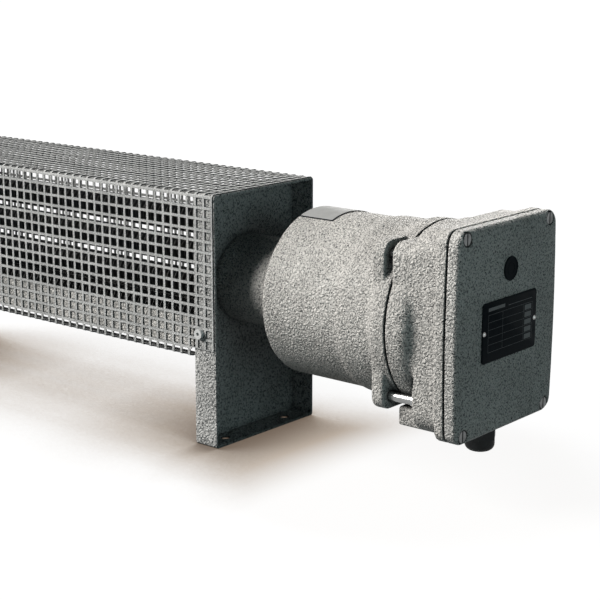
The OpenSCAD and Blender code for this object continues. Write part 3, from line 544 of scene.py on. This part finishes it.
class HEATER_OT_finishes(bpy.types.Operator):
    """Gives every carried-over CAD node the finish of its material slot"""
    bl_idname = "heater.finishes"
    bl_label = "Finishes"

    def execute(self, context):
        slots = {entry["node"]: entry["material_slot"] for entry in frame["record"]["subparts"]}
        for node, solid in frame["nodes"].items():
            material = finish_of(SCREW_FINISH.get(node, slots[node]))
            for entry in solid.material_slots:
                entry.link = "OBJECT"
                entry.material = material
        return {"FINISHED"}


def perforated(xs, ss, is_solid, place, thickness, open_low=False):
    """Both faces and the cut edges of a perforated sheet on a grid of x and developed-length
    lines; place(x, s, depth) bends it into space. The last list marks cut edges with 1, and
    open_low leaves both ends of the developed length without one."""
    points, index, faces, cut = [], {}, [], []

    def corner(i, j, deep):
        key = (i, j, deep)
        if key not in index:
            index[key] = len(points)
            points.append(place(xs[i], ss[j], thickness if deep else 0.0))
        return index[key]

    columns, rows = len(xs) - 1, len(ss) - 1
    solid = [[is_solid((xs[i] + xs[i + 1]) / 2, (ss[j] + ss[j + 1]) / 2)
              for j in range(rows)] for i in range(columns)]
    for i in range(columns):
        for j in range(rows):
            if not solid[i][j]:
                continue
            faces.append((corner(i, j, 0), corner(i + 1, j, 0), corner(i + 1, j + 1, 0),
                          corner(i, j + 1, 0)))
            faces.append((corner(i, j + 1, 1), corner(i + 1, j + 1, 1), corner(i + 1, j, 1),
                          corner(i, j, 1)))
            cut += [0, 0]
            sides = (((i, j), (i + 1, j), i, j - 1), ((i + 1, j), (i + 1, j + 1), i + 1, j),
                     ((i + 1, j + 1), (i, j + 1), i, j + 1), ((i, j + 1), (i, j), i - 1, j))
            for a, b, ni, nj in sides:
                inside = 0 <= ni < columns and 0 <= nj < rows
                if inside and solid[ni][nj]:
                    continue
                if not inside and open_low and ((nj < 0) or (nj >= rows)):
                    continue
                faces.append((corner(*b, 0), corner(*a, 0), corner(*a, 1), corner(*b, 1)))
                cut.append(1)
    return points, faces, cut


class GuardSheet:
    """The guard's sheet, in millimetres: x runs along the heater and s along the sheet, where it
    is the height on the front wall and runs on over the top and down the back wall."""
    reach, skirt, hem, lip_clear = 1.5, 8.5, 1.0, 2.0
    thick, bend_r, fold_r, lip = 1.0, 3.5, 1.5, 10.0
    first_column, first_row, rows_below, lip_row = 5.5, 8.0, 14, 3.0
    bend_steps, fold_steps, least_step, crisp = 6, 4, 0.02, 30.0

    def __init__(self, pitch, hole):
        low, high = span("mesh_guard")
        self.hole = hole
        self.x0, self.x1 = low[0] - self.reach, high[0] + self.reach
        self.half_y, self.top, self.foot = high[1], high[2], low[2]
        self.lip_x0 = span("end_bracket_left")[1][0] + self.lip_clear
        self.lip_x1 = span("end_bracket_right")[0][0] - self.lip_clear
        self.bend_mid, self.fold_mid = self.bend_r - self.thick / 2, self.fold_r - self.thick / 2
        self.arc, self.fold_arc = self.bend_mid * math.pi / 2, self.fold_mid * math.pi / 2
        self.wall_top = self.top - self.bend_r
        self.s_top = self.wall_top + self.arc
        self.s_back = self.s_top + 2 * (self.half_y - self.bend_r)
        self.s_down = self.s_back + self.arc
        self.s_fold = self.foot + self.fold_r
        self.s_end = self.s_down + self.wall_top - self.foot - self.fold_r
        self.s_skirts = (self.foot + self.skirt,
                         self.s_down + self.wall_top - self.foot - self.skirt)
        self.columns = [self.x1 - self.first_column - pitch * n
                        for n in range(int((self.x1 - self.x0) / pitch))]
        last_row = int((self.s_end - self.wall_top) / pitch)
        self.rows = [self.top - self.first_row + pitch * n
                     for n in range(-self.rows_below, last_row + 1)]

    def place(self, x, s, depth):
        """A point of the walls, the top or the bends between them."""
        r = self.bend_r - depth
        if s <= self.wall_top:
            return x, -self.half_y + depth, s
        if s <= self.s_top:
            a = (s - self.wall_top) / self.bend_mid
            return (x, -self.half_y + self.bend_r - r * math.cos(a),
                    self.wall_top + r * math.sin(a))
        if s <= self.s_back:
            return x, -self.half_y + self.bend_r + (s - self.s_top), self.top - depth
        if s <= self.s_down:
            a = (s - self.s_back) / self.bend_mid
            return (x, self.half_y - self.bend_r + r * math.sin(a),
                    self.wall_top + r * math.cos(a))
        return x, self.half_y - depth, self.wall_top - (s - self.s_down)

    def place_lip(self, side, x, s, depth):
        """A point of the lower edge and its lip; side is -1 at the front and 1 at the back."""
        if s >= self.s_fold:
            y, z = self.half_y - depth, s
        elif s >= self.s_fold - self.fold_arc:
            a = (self.s_fold - s) / self.fold_mid
            r = self.fold_r - depth
            y = self.half_y - self.fold_r + r * math.cos(a)
            z = self.foot + self.fold_r - r * math.sin(a)
        else:
            y = self.half_y - self.fold_r - (self.s_fold - self.fold_arc - s)
            z = self.foot + depth
        return x, side * y, z

    def in_hole(self, x, s, rows):
        """Whether a point lies in a hole of these rows; the hems at both ends have none."""
        if not self.x0 + self.hem < x < self.x1 - self.hem:
            return False
        return (any(abs(x - c) < self.hole / 2 for c in self.columns)
                and any(abs(s - r) < self.hole / 2 for r in rows))

    def on_sheet(self, x, s):
        """No hole, and nothing of the skirts that would hang over the brackets' flanges."""
        beyond = not self.lip_x0 < x < self.lip_x1
        short = s < self.s_skirts[0] or s > self.s_skirts[1]
        return not (beyond and short) and not self.in_hole(x, s, self.rows)

    def hole_edges(self, places):
        """Both edges of each hole at these places."""
        return [c + d for c in places for d in (-self.hole / 2, self.hole / 2)]

    def lines(self, values, low_end, high_end):
        """The grid's lines from end to end, in order and never closer than the least step."""
        kept = sorted({round(v, 4) for v in values if low_end < v < high_end}
                      | {round(low_end, 4), round(high_end, 4)})
        return [v for n, v in enumerate(kept) if n == 0 or v - kept[n - 1] > self.least_step]

    def walls(self):
        """Both walls and the top."""
        bends = [start + self.arc * k / self.bend_steps for start in (self.wall_top, self.s_back)
                 for k in range(self.bend_steps + 1)]
        xs = self.hole_edges(self.columns) + [self.lip_x0, self.lip_x1]
        ss = self.hole_edges(self.rows) + bends + list(self.s_skirts)
        return perforated(self.lines(xs, self.x0, self.x1),
                          self.lines(ss, self.s_fold, self.s_end), self.on_sheet, self.place,
                          self.thick, open_low=True)

    def folded_lip(self, side, row):
        """The lip that the sheet turns in to along a lower edge, with one row of holes."""
        lip_end = self.foot + self.fold_r - self.fold_arc - (self.lip + self.thick - self.fold_r)
        arcs = [self.s_fold - self.fold_arc * k / self.fold_steps
                for k in range(self.fold_steps + 1)]
        return perforated(
            self.lines(self.hole_edges(self.columns), self.lip_x0, self.lip_x1),
            self.lines(arcs + self.hole_edges([row]), lip_end, self.s_fold),
            lambda x, s: not self.in_hole(x, s, [row]),
            lambda x, s, depth: self.place_lip(side, x, s, depth), self.thick)

    def parts(self):
        """The walls, the front lip and the back lip, whose row of holes is the one that comes
        nearest to lip_row above the foot."""
        back_rows = [self.wall_top - (row - self.s_down) for row in self.rows
                     if row > self.s_down]
        back_row = min(back_rows, key=lambda z: abs(z - self.foot - self.lip_row))
        return self.walls(), self.folded_lip(-1, self.rows[0]), self.folded_lip(1, back_row)


class HEATER_OT_guard(bpy.types.Operator):
    """Builds the perforated guard as one developed sheet that is folded over the brackets"""
    bl_idname = "heater.guard"
    bl_label = "Perforated guard"

    def execute(self, context):
        sheet = settings("heater_sheet")
        parts = GuardSheet(sheet.pitch / MM, sheet.hole / MM).parts()
        points, faces = merge([part[:2] for part in parts])
        mesh = bpy.data.meshes.new("perforated_guard")
        mesh.from_pydata([Vector(p) * MM for p in points], [], faces)
        # The second finish is the dark one on the hole walls: painted shade in the holes.
        finishes = [finish_of("guard_zinc"), finish_of("cut_edge_and_shade")]
        for finish in finishes:
            mesh.materials.append(finish)
        mesh.polygons.foreach_set("material_index", [c for part in parts for c in part[2]])
        piece = add_object("perforated_guard", mesh, GuardSheet.crisp)
        marks = [face.material_index for face in piece.data.polygons]
        finish_piece(piece, finishes, "guard_zinc", "mesh_guard")
        piece.data.polygons.foreach_set("material_index", marks)
        return {"FINISHED"}


def folded_tray(web, way, depth, half_w, half_h):
    """A bracket's flange, rounded fold and web, outside and inside; way is 1 for the right one,
    whose web has the neck's bore, and -1 for the left one."""
    thick, corner, fold_steps, side_steps, neck_clear = 2.0, 2.5, 5, 16, 0.05
    fold = settings("heater_sheet").fold / MM

    def bend(radius):
        turns = [math.radians(90 * k / fold_steps) for k in range(fold_steps + 1)]
        return [(fold - radius * math.sin(a), fold - radius * math.cos(a)) for a in turns]

    def ring(x, inset):
        return [(web + way * x, y, half_h + z) for y, z in round_rect(
            half_w - inset, half_h - inset, corner - inset, side_steps)]

    rings = [ring(*p) for p in [(depth, 0.0), (fold, 0.0)] + bend(fold)[1:]]
    back = [ring(*p) for p in bend(fold - thick)[::-1] + [(depth, thick)]]
    if way < 0:
        return merge((loft(rings, cap_end=True), loft(back, cap_start=True),
                      loft([back[-1], rings[0]])))
    r = span("neck_tube")[1][1] + neck_clear
    angles = [math.atan2(p[2] - AXIS_Z, p[1]) for p in rings[-1]]
    rings += [[(x, r * math.cos(a), AXIS_Z + r * math.sin(a)) for a in angles]
              for x in (web, web + thick)]
    points, faces = loft(rings + back)
    count, last = len(rings[0]), len(rings + back) - 1
    faces += [(last * count + i, last * count + (i + 1) % count, (i + 1) % count, i)
              for i in range(count)]
    return points, faces


def bracket_holes(web, way, depth, half_w):
    """Rods for a bracket's holes: two in its foot, one in each side for a guard screw, and in
    the left web two for the screws of the element supports."""
    foot_y, foot_r, screw_r, head_r = 42.0, 4.5, 2.75, 4.5
    foot_drill, side_drill, web_drill = 5.0, 6.0, 8.0
    foot_x = web + way * depth / 2
    rods = [((foot_x, y, -foot_drill), (foot_x, y, foot_drill), foot_r) for y in (-foot_y, foot_y)]
    screw_x = span("guard_screws")[1 if way > 0 else 0][0] - way * head_r
    screw_z = middle("guard_screws")[2]
    rods += [((screw_x, s * (half_w - side_drill), screw_z),
              (screw_x, s * (half_w + side_drill), screw_z), screw_r) for s in (-1, 1)]
    if way < 0:
        low, high = span("support_screws")
        rods += [((web - web_drill, 0, z), (web + web_drill, 0, z), screw_r)
                 for z in (low[2] + head_r, high[2] - head_r)]
    return rods


class HEATER_OT_brackets(bpy.types.Operator):
    """Builds the two folded end brackets with rounded folds and their bolt holes"""
    bl_idname = "heater.brackets"
    bl_label = "End brackets"

    def execute(self, context):
        for name, node, way in (("folded_bracket_right", "end_bracket_right", 1),
                                ("folded_bracket_left", "end_bracket_left", -1)):
            low, high = span(node)
            web = low[0] if way > 0 else high[0]
            depth, half_w = high[0] - low[0], high[1]
            piece = add_mesh(name, *folded_tray(web, way, depth, half_w, high[2] / 2))
            cut_rods(piece, bracket_holes(web, way, depth, half_w))
            finish_piece(piece, finish_of("bracket_paint"), "bracket_paint", node)
        return {"FINISHED"}


# Operator: finned elements

TUBE_R, FIN_R, LEG_GAP, COLD_R = 4.25, 13.25, 31.0, 10.0


def element_path(bend_x, cold_x, end_x, at):
    """Points of a tube: in from its end, round the bend, back along the far leg, and by two
    quarter turns down to the height of its other end; at(x, z) puts a point in place."""
    bend_steps, cold_steps = 15, 8
    near, far = LEG_GAP / 2, LEG_GAP * 1.5
    path = [at(end_x, near), at(bend_x, near)]
    for k in range(1, bend_steps + 1):
        a = math.pi * k / bend_steps
        path.append(at(bend_x - near * math.sin(a), LEG_GAP - near * math.cos(a)))
    quarter = [math.pi / 2 * k / cold_steps for k in range(1, cold_steps + 1)]
    path.append(at(cold_x - 2 * COLD_R, far))
    path += [at(cold_x - 2 * COLD_R + COLD_R * math.sin(a), far - COLD_R + COLD_R * math.cos(a))
             for a in quarter]
    path += [at(cold_x - COLD_R * math.cos(a), far - COLD_R - COLD_R * math.sin(a))
             for a in quarter]
    path.append(at(end_x, far - 2 * COLD_R))
    return path


def fin_ribbon(start, end, pitch, leg_z):
    """A fin wound along a leg: a thin section that turns about the leg as it moves on."""
    turn_steps, lead_in, sink, root_half, tip_half = 28, 0.5, 0.1, 0.45, 0.18
    section = ((TUBE_R - sink, -root_half), (FIN_R, -tip_half), (FIN_R, tip_half),
               (TUBE_R - sink, root_half))
    turns = (end - start - 2 * lead_in) / pitch
    rings = []
    for k in range(int(turns * turn_steps) + 1):
        a = 2 * math.pi * k / turn_steps
        x = start + lead_in + pitch * k / turn_steps
        rings.append([(x + half, r * math.cos(a), leg_z + r * math.sin(a)) for r, half in section])
    return loft(rings, cap_start=True, cap_end=True)


class HEATER_OT_elements(bpy.types.Operator):
    """Builds the two bent element tubes with their wound fin ribbons"""
    bl_idname = "heater.elements"
    bl_label = "Finned elements"

    def execute(self, context):
        pitch = settings("heater_sheet").fin_pitch / MM
        web_clear, bend_gap, cold_gap, crisp = 2.0, 7.5, 3.0, 40.0
        cold_x = span("end_bracket_right")[0][0] - web_clear
        for node, side in (("upper_element", 1), ("lower_element", -1)):
            low, high = span(node)
            bend_x = low[0] + LEG_GAP / 2 + TUBE_R
            path = element_path(bend_x, cold_x, high[0],
                                lambda x, z: (x, 0.0, AXIS_Z + side * z))
            parts = [tube_along(path, TUBE_R)]
            for leg in (LEG_GAP / 2, LEG_GAP * 1.5):
                parts.append(fin_ribbon(bend_x + bend_gap, cold_x - 2 * COLD_R - cold_gap, pitch,
                                        AXIS_Z + side * leg))
            piece = add_mesh("finned_" + node, *merge(parts), smooth=crisp)
            finish_piece(piece, finish_of("element_steel"), "element_steel", node)
        return {"FINISHED"}


# Operator: castings

SOFTEN = 0.5


def cast_skin(name, node, zone=None, passes=0, step=1.0, rounding=1.0, keep_off=None):
    """A casting's softened copy: a fine net over the CAD node, smoothed and thinned out, with
    more passes where zone(x, y, z) holds; keep_off(x, y, z) gives the x a point is moved to,
    to leave a joint open."""
    casting = settings("heater_casting")
    mesh = frame["nodes"][node].data.copy()
    piece = add_object(name, mesh)
    net = piece.modifiers.new("net", "REMESH")
    net.mode, net.voxel_size, net.use_smooth_shade = "VOXEL", casting.grain * step, True
    soften = piece.modifiers.new("soften", "SMOOTH")
    soften.factor, soften.iterations = SOFTEN, max(1, round(casting.rounding * rounding))
    settle(piece)
    if zone:
        chosen = [v.index for v in piece.data.vertices if zone(*(c / MM for c in v.co))]
        group = piece.vertex_groups.new(name="fillets")
        group.add(chosen, 1.0, "REPLACE")
        more = piece.modifiers.new("fillets", "SMOOTH")
        more.factor, more.iterations, more.vertex_group = SOFTEN, passes, "fillets"
    thin = piece.modifiers.new("thin", "DECIMATE")
    thin.ratio = casting.keep
    settle(piece)
    piece.vertex_groups.clear()
    if keep_off:
        for v in piece.data.vertices:
            v.co.x = keep_off(*(c / MM for c in v.co)) * MM
    for face in piece.data.polygons:
        face.use_smooth = True
    return piece


class HEATER_OT_castings(bpy.types.Operator):
    """Builds the softened skins of the round housing, the terminal box and its cover"""
    bl_idname = "heater.castings"
    bl_label = "Castings"

    def execute(self, context):
        rim = span("flameproof_housing")[1][0]
        joint, seam = span("joint_ring"), span("cover_gasket")
        gap, rim_r = 0.6, 73.0
        lug_from, lug_to, lug_r, lug_passes = 26.0, 5.0, 77.2, 9
        root_from, root_to, root_r, root_half, root_passes = 8.0, 28.0, 66.0, 46.0, 60

        def lug_root(x, y, z):
            return rim - lug_from < x < rim - lug_to and math.hypot(y, z - AXIS_Z) > lug_r

        def box_root(x, y, z):
            return (joint[1][0] + root_from < x < joint[1][0] + root_to and abs(y) > root_r
                    and abs(z - AXIS_Z) < root_half)

        def off_rim(x, y, z):
            return min(x, joint[0][0] - gap)

        def off_box(x, y, z):
            if math.hypot(y, z - AXIS_Z) > rim_r and x < joint[1][0] + gap:
                return joint[1][0] + gap
            return min(x, seam[0][0] - gap)

        def off_seam(x, y, z):
            return max(x, seam[1][0] + gap)

        for name, node, slot, softness in (
                ("cast_housing", "flameproof_housing", "cast_hammertone",
                 dict(zone=lug_root, passes=lug_passes, keep_off=off_rim)),
                ("cast_terminal_box", "terminal_box", "cast_hammertone",
                 dict(zone=box_root, passes=root_passes, keep_off=off_box)),
                ("cast_cover", "terminal_cover", "cover_hammertone",
                 dict(step=0.8, rounding=0.75, keep_off=off_seam))):
            finish_piece(cast_skin(name, node, **softness), finish_of(slot), slot, node)
        return {"FINISHED"}


# Operator: plates

def add_label():
    """The curved label, with a dark line along its front and right edges."""
    low, high = span("housing_label")
    half, outer = high[1], high[2] - AXIS_Z
    swing, line, thick, steps = math.asin(half / outer), 0.9, 0.5, 24
    turns = [swing * (2 * k / steps - 1) for k in range(steps + 1)]
    turns = [-swing, -swing + line / outer] + turns[1:-1] + [swing - line / outer, swing]
    profile = ((low[0], outer - thick), (low[0], outer), (low[0] + line, outer),
               (high[0] - line, outer), (high[0], outer), (high[0], outer - thick))
    rims = [[(x, r * math.sin(a), AXIS_Z + r * math.cos(a)) for a in turns] for x, r in profile]
    points, faces = loft(rims, closed=False)
    count, last = len(turns), len(rims) - 1
    faces += [tuple(r * count for r in range(last + 1)),
              tuple(r * count + count - 1 for r in range(last + 1)),
              *((k, k + 1, last * count + k + 1, last * count + k) for k in range(count - 1))]
    piece = add_mesh("bare_label", points, faces)
    finish_piece(piece, [finish_of("label_metal"), finish_of("plate_black")], "label_metal",
                 "housing_label")
    for face in piece.data.polygons:
        x, y = face.center.x / MM, face.center.y / MM
        if y < -half + line or x > high[0] - line:
            face.material_index = 1


def add_rating_plate():
    """The black plate with the grey lines and blocks of a form that says nothing."""
    low, high = span("rating_plate")
    mid = middle("rating_plate")
    half_w, half_h = (high[1] - low[1]) / 2, (high[2] - low[2]) / 2
    corner, corner_sides, edge, edge_share, lift = 3.0, 8, 0.3, 0.3, 0.02
    line, left, right, bottom, top = 0.22, -32.0, 34.0, -16.5, 14.7
    first_line, row_gap, line_count, columns = 14.5, 6.2, 6, (left, -11.0, 20.0, 33.8)
    first_cell, cell_left, cell_right, cell_rise = 9.2, 22.0, 32.0, 4.2
    headings = ((left, 17.6, -8.0, 20.4), (-3.0, 17.9, 33.0, 18.3))

    def ring(x, inset):
        return [(x, y, mid[2] + z) for y, z in
                round_rect(half_w - inset, half_h - inset, corner - inset, corner_sides)]

    def mark(y0, z0, y1, z1):
        x, z0, z1 = high[0] + lift, mid[2] + z0, mid[2] + z1
        return [(x, y0, z0), (x, y1, z0), (x, y1, z1), (x, y0, z1)], [(0, 1, 2, 3)]

    rings = [ring(low[0], 0), ring(high[0] - edge, 0),
             ring(high[0] - edge * edge_share, edge * edge_share), ring(high[0], edge)]
    parts = [loft(rings, cap_start=True, cap_end=True)]
    for n in range(line_count):
        z = first_line - row_gap * n
        parts.append(mark(left, z, right, z + line))
    parts += [mark(y, bottom, y + line, top) for y in columns]
    for n in range(line_count - 1):
        z = first_cell - row_gap * n
        parts.append(mark(cell_left, z, cell_right, z + cell_rise))
    parts += [mark(*heading) for heading in headings]
    piece = add_mesh("bare_rating_plate", *merge(parts))
    finish_piece(piece, [finish_of("plate_black"), finish_of("print_grey")], "plate_black",
                 "rating_plate")
    for face in piece.data.polygons:
        if face.center.x / MM > high[0] + lift / 2:
            face.material_index = 1


def add_disc():
    """The round disc, turned with a raised rim and a raised ring round its bare middle."""
    low, high = span("round_badge")
    mid = middle("round_badge")
    r, t = (high[1] - low[1]) / 2, high[0] - low[0]
    wall, field, ring, hub, sides = t * 0.7, t * 0.72, t * 0.9, 0.4, 64
    profile = ((r, 0), (r, wall), (r - 0.35, t), (r - 1.3, t), (r - 1.6, field),
               (r - 4.6, field), (r - 4.8, ring), (r - 5.4, ring), (r - 5.6, field), (hub, field))
    rings = [[(low[0] + x, mid[1] + q * math.cos(2 * math.pi * k / sides),
               mid[2] + q * math.sin(2 * math.pi * k / sides)) for k in range(sides)]
             for q, x in profile]
    piece = add_mesh("bare_round_disc", *loft(rings, cap_start=True, cap_end=True))
    finish_piece(piece, finish_of("plate_black"), "plate_black", "round_badge")


class HEATER_OT_plates(bpy.types.Operator):
    """Builds the bare curved label, the bare rating plate with its blank form and the disc"""
    bl_idname = "heater.plates"
    bl_label = "Plates"

    def execute(self, context):
        add_label()
        add_rating_plate()
        add_disc()
        return {"FINISHED"}


# Operator: stage

def seen_share(tree):
    """One for the camera's own rays, less for reflections, none for the light that falls."""
    glossy_share = 0.32
    rays = tree.nodes.new("ShaderNodeLightPath")
    direct = calc(tree, "MAXIMUM", rays.outputs["Is Camera Ray"],
                  rays.outputs["Is Transmission Ray"])
    return calc(tree, "MAXIMUM", direct,
                calc(tree, "MULTIPLY", rays.outputs["Is Glossy Ray"], glossy_share))


def add_floor(scene):
    """White paper that glows for the camera and less in reflections, with a warm, dark painted
    shadow close to the object that is weaker towards the terminal box's end."""
    reach, drop, shadow_reach = 14.0, 0.3, 170.0
    lit, unlit = (0.10, 0.115, 0.12, 1), (0.06, 0.06, 0.06, 1)
    # dark and warm are the colours of the painted shadow; paper is the glow where none falls.
    dark, warm, paper = (0.16, 0.12, 0.09, 1), (0.47, 0.40, 0.335, 1), (0.985, 0.985, 0.985, 1)
    shadow_warm_stop, lean_y, lean_z, closed, clear = 0.42, 0.24, 0.97, 0.42, 0.97
    shadow_fade_start, shadow_fade_end, shadow_fade_most = 0.11, 0.25, 0.95
    mesh = bpy.data.meshes.new("floor")
    mesh.from_pydata([(-reach, -reach, 0), (reach, -reach, 0), (reach, reach, 0),
                      (-reach, reach, 0)], [], [(0, 1, 2, 3)])
    floor = bpy.data.objects.new("floor", mesh)
    floor.location.z = -drop * MM
    scene.collection.objects.link(floor)
    material = bpy.data.materials.new("floor_paper")
    material.use_nodes = True
    tree = material.node_tree
    tree.nodes.clear()
    out = tree.nodes.new("ShaderNodeOutputMaterial")
    seen = seen_share(tree)
    matte = add_node(tree, "ShaderNodeBsdfDiffuse", (
        ("Color", blend_colour(tree, seen, lit, unlit)),)).outputs[0]
    lean = add_node(tree, "ShaderNodeCombineXYZ", (
        (0, 0.0), (1, lean_y), (2, lean_z))).outputs[0]
    # Painted shadow: ambient occlusion, with its normal leaning to the back, darkens and warms the
    # glow near the object and fades along x towards the terminal box.
    near = add_node(tree, "ShaderNodeAmbientOcclusion", (
        ("Distance", shadow_reach * MM), ("Normal", lean)), samples=16)
    place = tree.nodes.new("ShaderNodeTexCoord").outputs["Object"]
    along = add_node(tree, "ShaderNodeSeparateXYZ", ((0, place),)).outputs[0]
    weak = ramp(tree, along, shadow_fade_start, shadow_fade_end, to_high=shadow_fade_most)
    shadow_free_share = calc(tree, "MAXIMUM", weak, ramp(tree, near.outputs["AO"], closed, clear))
    shades = add_node(tree, "ShaderNodeValToRGB", ((0, shadow_free_share),))
    stops = shades.color_ramp.elements
    stops[0].color, stops[1].color = dark, paper
    stops.new(shadow_warm_stop).color = warm
    glow = add_node(tree, "ShaderNodeEmission", (
        ("Color", shades.outputs[0]), ("Strength", seen))).outputs[0]
    both = add_node(tree, "ShaderNodeAddShader", ((0, matte), (1, glow))).outputs[0]
    tree.links.new(both, out.inputs["Surface"])
    mesh.materials.append(material)


def add_world(scene, fill):
    """A white background for the camera, and a weak cool light from all round."""
    fill_tint = (0.66, 0.98, 1.06)
    world = bpy.data.worlds.new("studio")
    scene.world = world
    world.use_nodes = True
    tree = world.node_tree
    tree.nodes.clear()
    out = tree.nodes.new("ShaderNodeOutputWorld")
    level = blend_colour(tree, seen_share(tree), tuple(fill * c for c in fill_tint) + (1,),
                         (1, 1, 1, 1))
    sky = add_node(tree, "ShaderNodeBackground", (("Color", level), ("Strength", 1.0)))
    tree.links.new(sky.outputs[0], out.inputs["Surface"])


def add_lamps(scene, stage):
    """The key, back and side lights: wide suns, each placed towards the side it shines from."""
    warm, cool, away = (1.0, 0.985, 0.96), (0.74, 1.0, 1.03), 3.0
    for name, level, colour, towards in (
            ("key", stage.key, warm, (-0.600, -0.530, 0.600)),
            ("back", stage.back, warm, (-0.35, 0.92, 0.20)),
            ("side", stage.side, cool, (1.0, -0.28, 0.08))):
        lamp = bpy.data.lights.new(name, "SUN")
        lamp.energy = math.pi * level
        lamp.angle = stage.softness
        lamp.color = colour
        source = bpy.data.objects.new(name, lamp)
        towards = Vector(towards).normalized()
        source.rotation_euler = towards.to_track_quat("Z", "Y").to_euler()
        source.location = towards * away
        scene.collection.objects.link(source)


def add_camera(scene, stage):
    """The photo's view: a camera on a sphere round its target."""
    target, roll, sensor, clip_end = Vector((161.52, 0.0, 133.41)) * MM, 0.0009, 36.0, 60.0
    data = bpy.data.cameras.new("photo_camera")
    data.lens, data.sensor_width, data.clip_end = stage.lens, sensor, clip_end
    camera = bpy.data.objects.new("photo_camera", data)
    az, el = stage.azimuth, stage.elevation
    back = Vector((math.sin(az) * math.cos(el), -math.cos(az) * math.cos(el), math.sin(el)))
    camera.location = target + back * stage.distance
    turn = back.to_track_quat("Z", "Y").to_matrix()
    camera.rotation_euler = (turn @ Matrix.Rotation(roll, 3, "Z")).to_euler()
    scene.collection.objects.link(camera)
    scene.camera = camera


class HEATER_OT_stage(bpy.types.Operator):
    """Sets the floor, the world, the three lights and the camera"""
    bl_idname = "heater.stage"
    bl_label = "Stage"

    def execute(self, context):
        stage = settings("heater_stage")
        scene = context.scene
        scene.view_settings.view_transform = "Standard"
        add_floor(scene)
        add_world(scene, stage.fill)
        add_lamps(scene, stage)
        add_camera(scene, stage)
        return {"FINISHED"}


# Panel and registration

class HEATER_PT_panel(bpy.types.Panel):
    """Lists the heater's pieces and the sizes and colours they use"""
    bl_idname = "HEATER_PT_panel"
    bl_label = "Heater"
    bl_space_type = "VIEW_3D"
    bl_region_type = "UI"
    bl_category = "Heater"

    def draw(self, context):
        for name, group in GROUPS.items():
            box = self.layout.box()
            box.label(text=group.__name__.replace("Heater", ""))
            for field in group.__annotations__:
                box.prop(getattr(context.scene, name), field)
        for operator in OPERATORS:
            self.layout.operator(operator.bl_idname)


GROUPS = {"heater_sheet": HeaterSheet, "heater_casting": HeaterCasting,
          "heater_paint": HeaterPaint, "heater_stage": HeaterStage}
OPERATORS = (HEATER_OT_finishes, HEATER_OT_guard, HEATER_OT_brackets, HEATER_OT_elements,
             HEATER_OT_castings, HEATER_OT_plates, HEATER_OT_stage)


def register():
    for entry in (*GROUPS.values(), *OPERATORS, HEATER_PT_panel):
        bpy.utils.register_class(entry)
    for name, group in GROUPS.items():
        setattr(bpy.types.Scene, name, bpy.props.PointerProperty(type=group))


def unregister():
    for name in GROUPS:
        delattr(bpy.types.Scene, name)
    for entry in reversed((*GROUPS.values(), *OPERATORS, HEATER_PT_panel)):
        bpy.utils.unregister_class(entry)


def main():
    register()
    for operator in OPERATORS:
        group, name = operator.bl_idname.split(".")
        getattr(getattr(bpy.ops, group), name)()


if __name__ == "__main__":
    main()
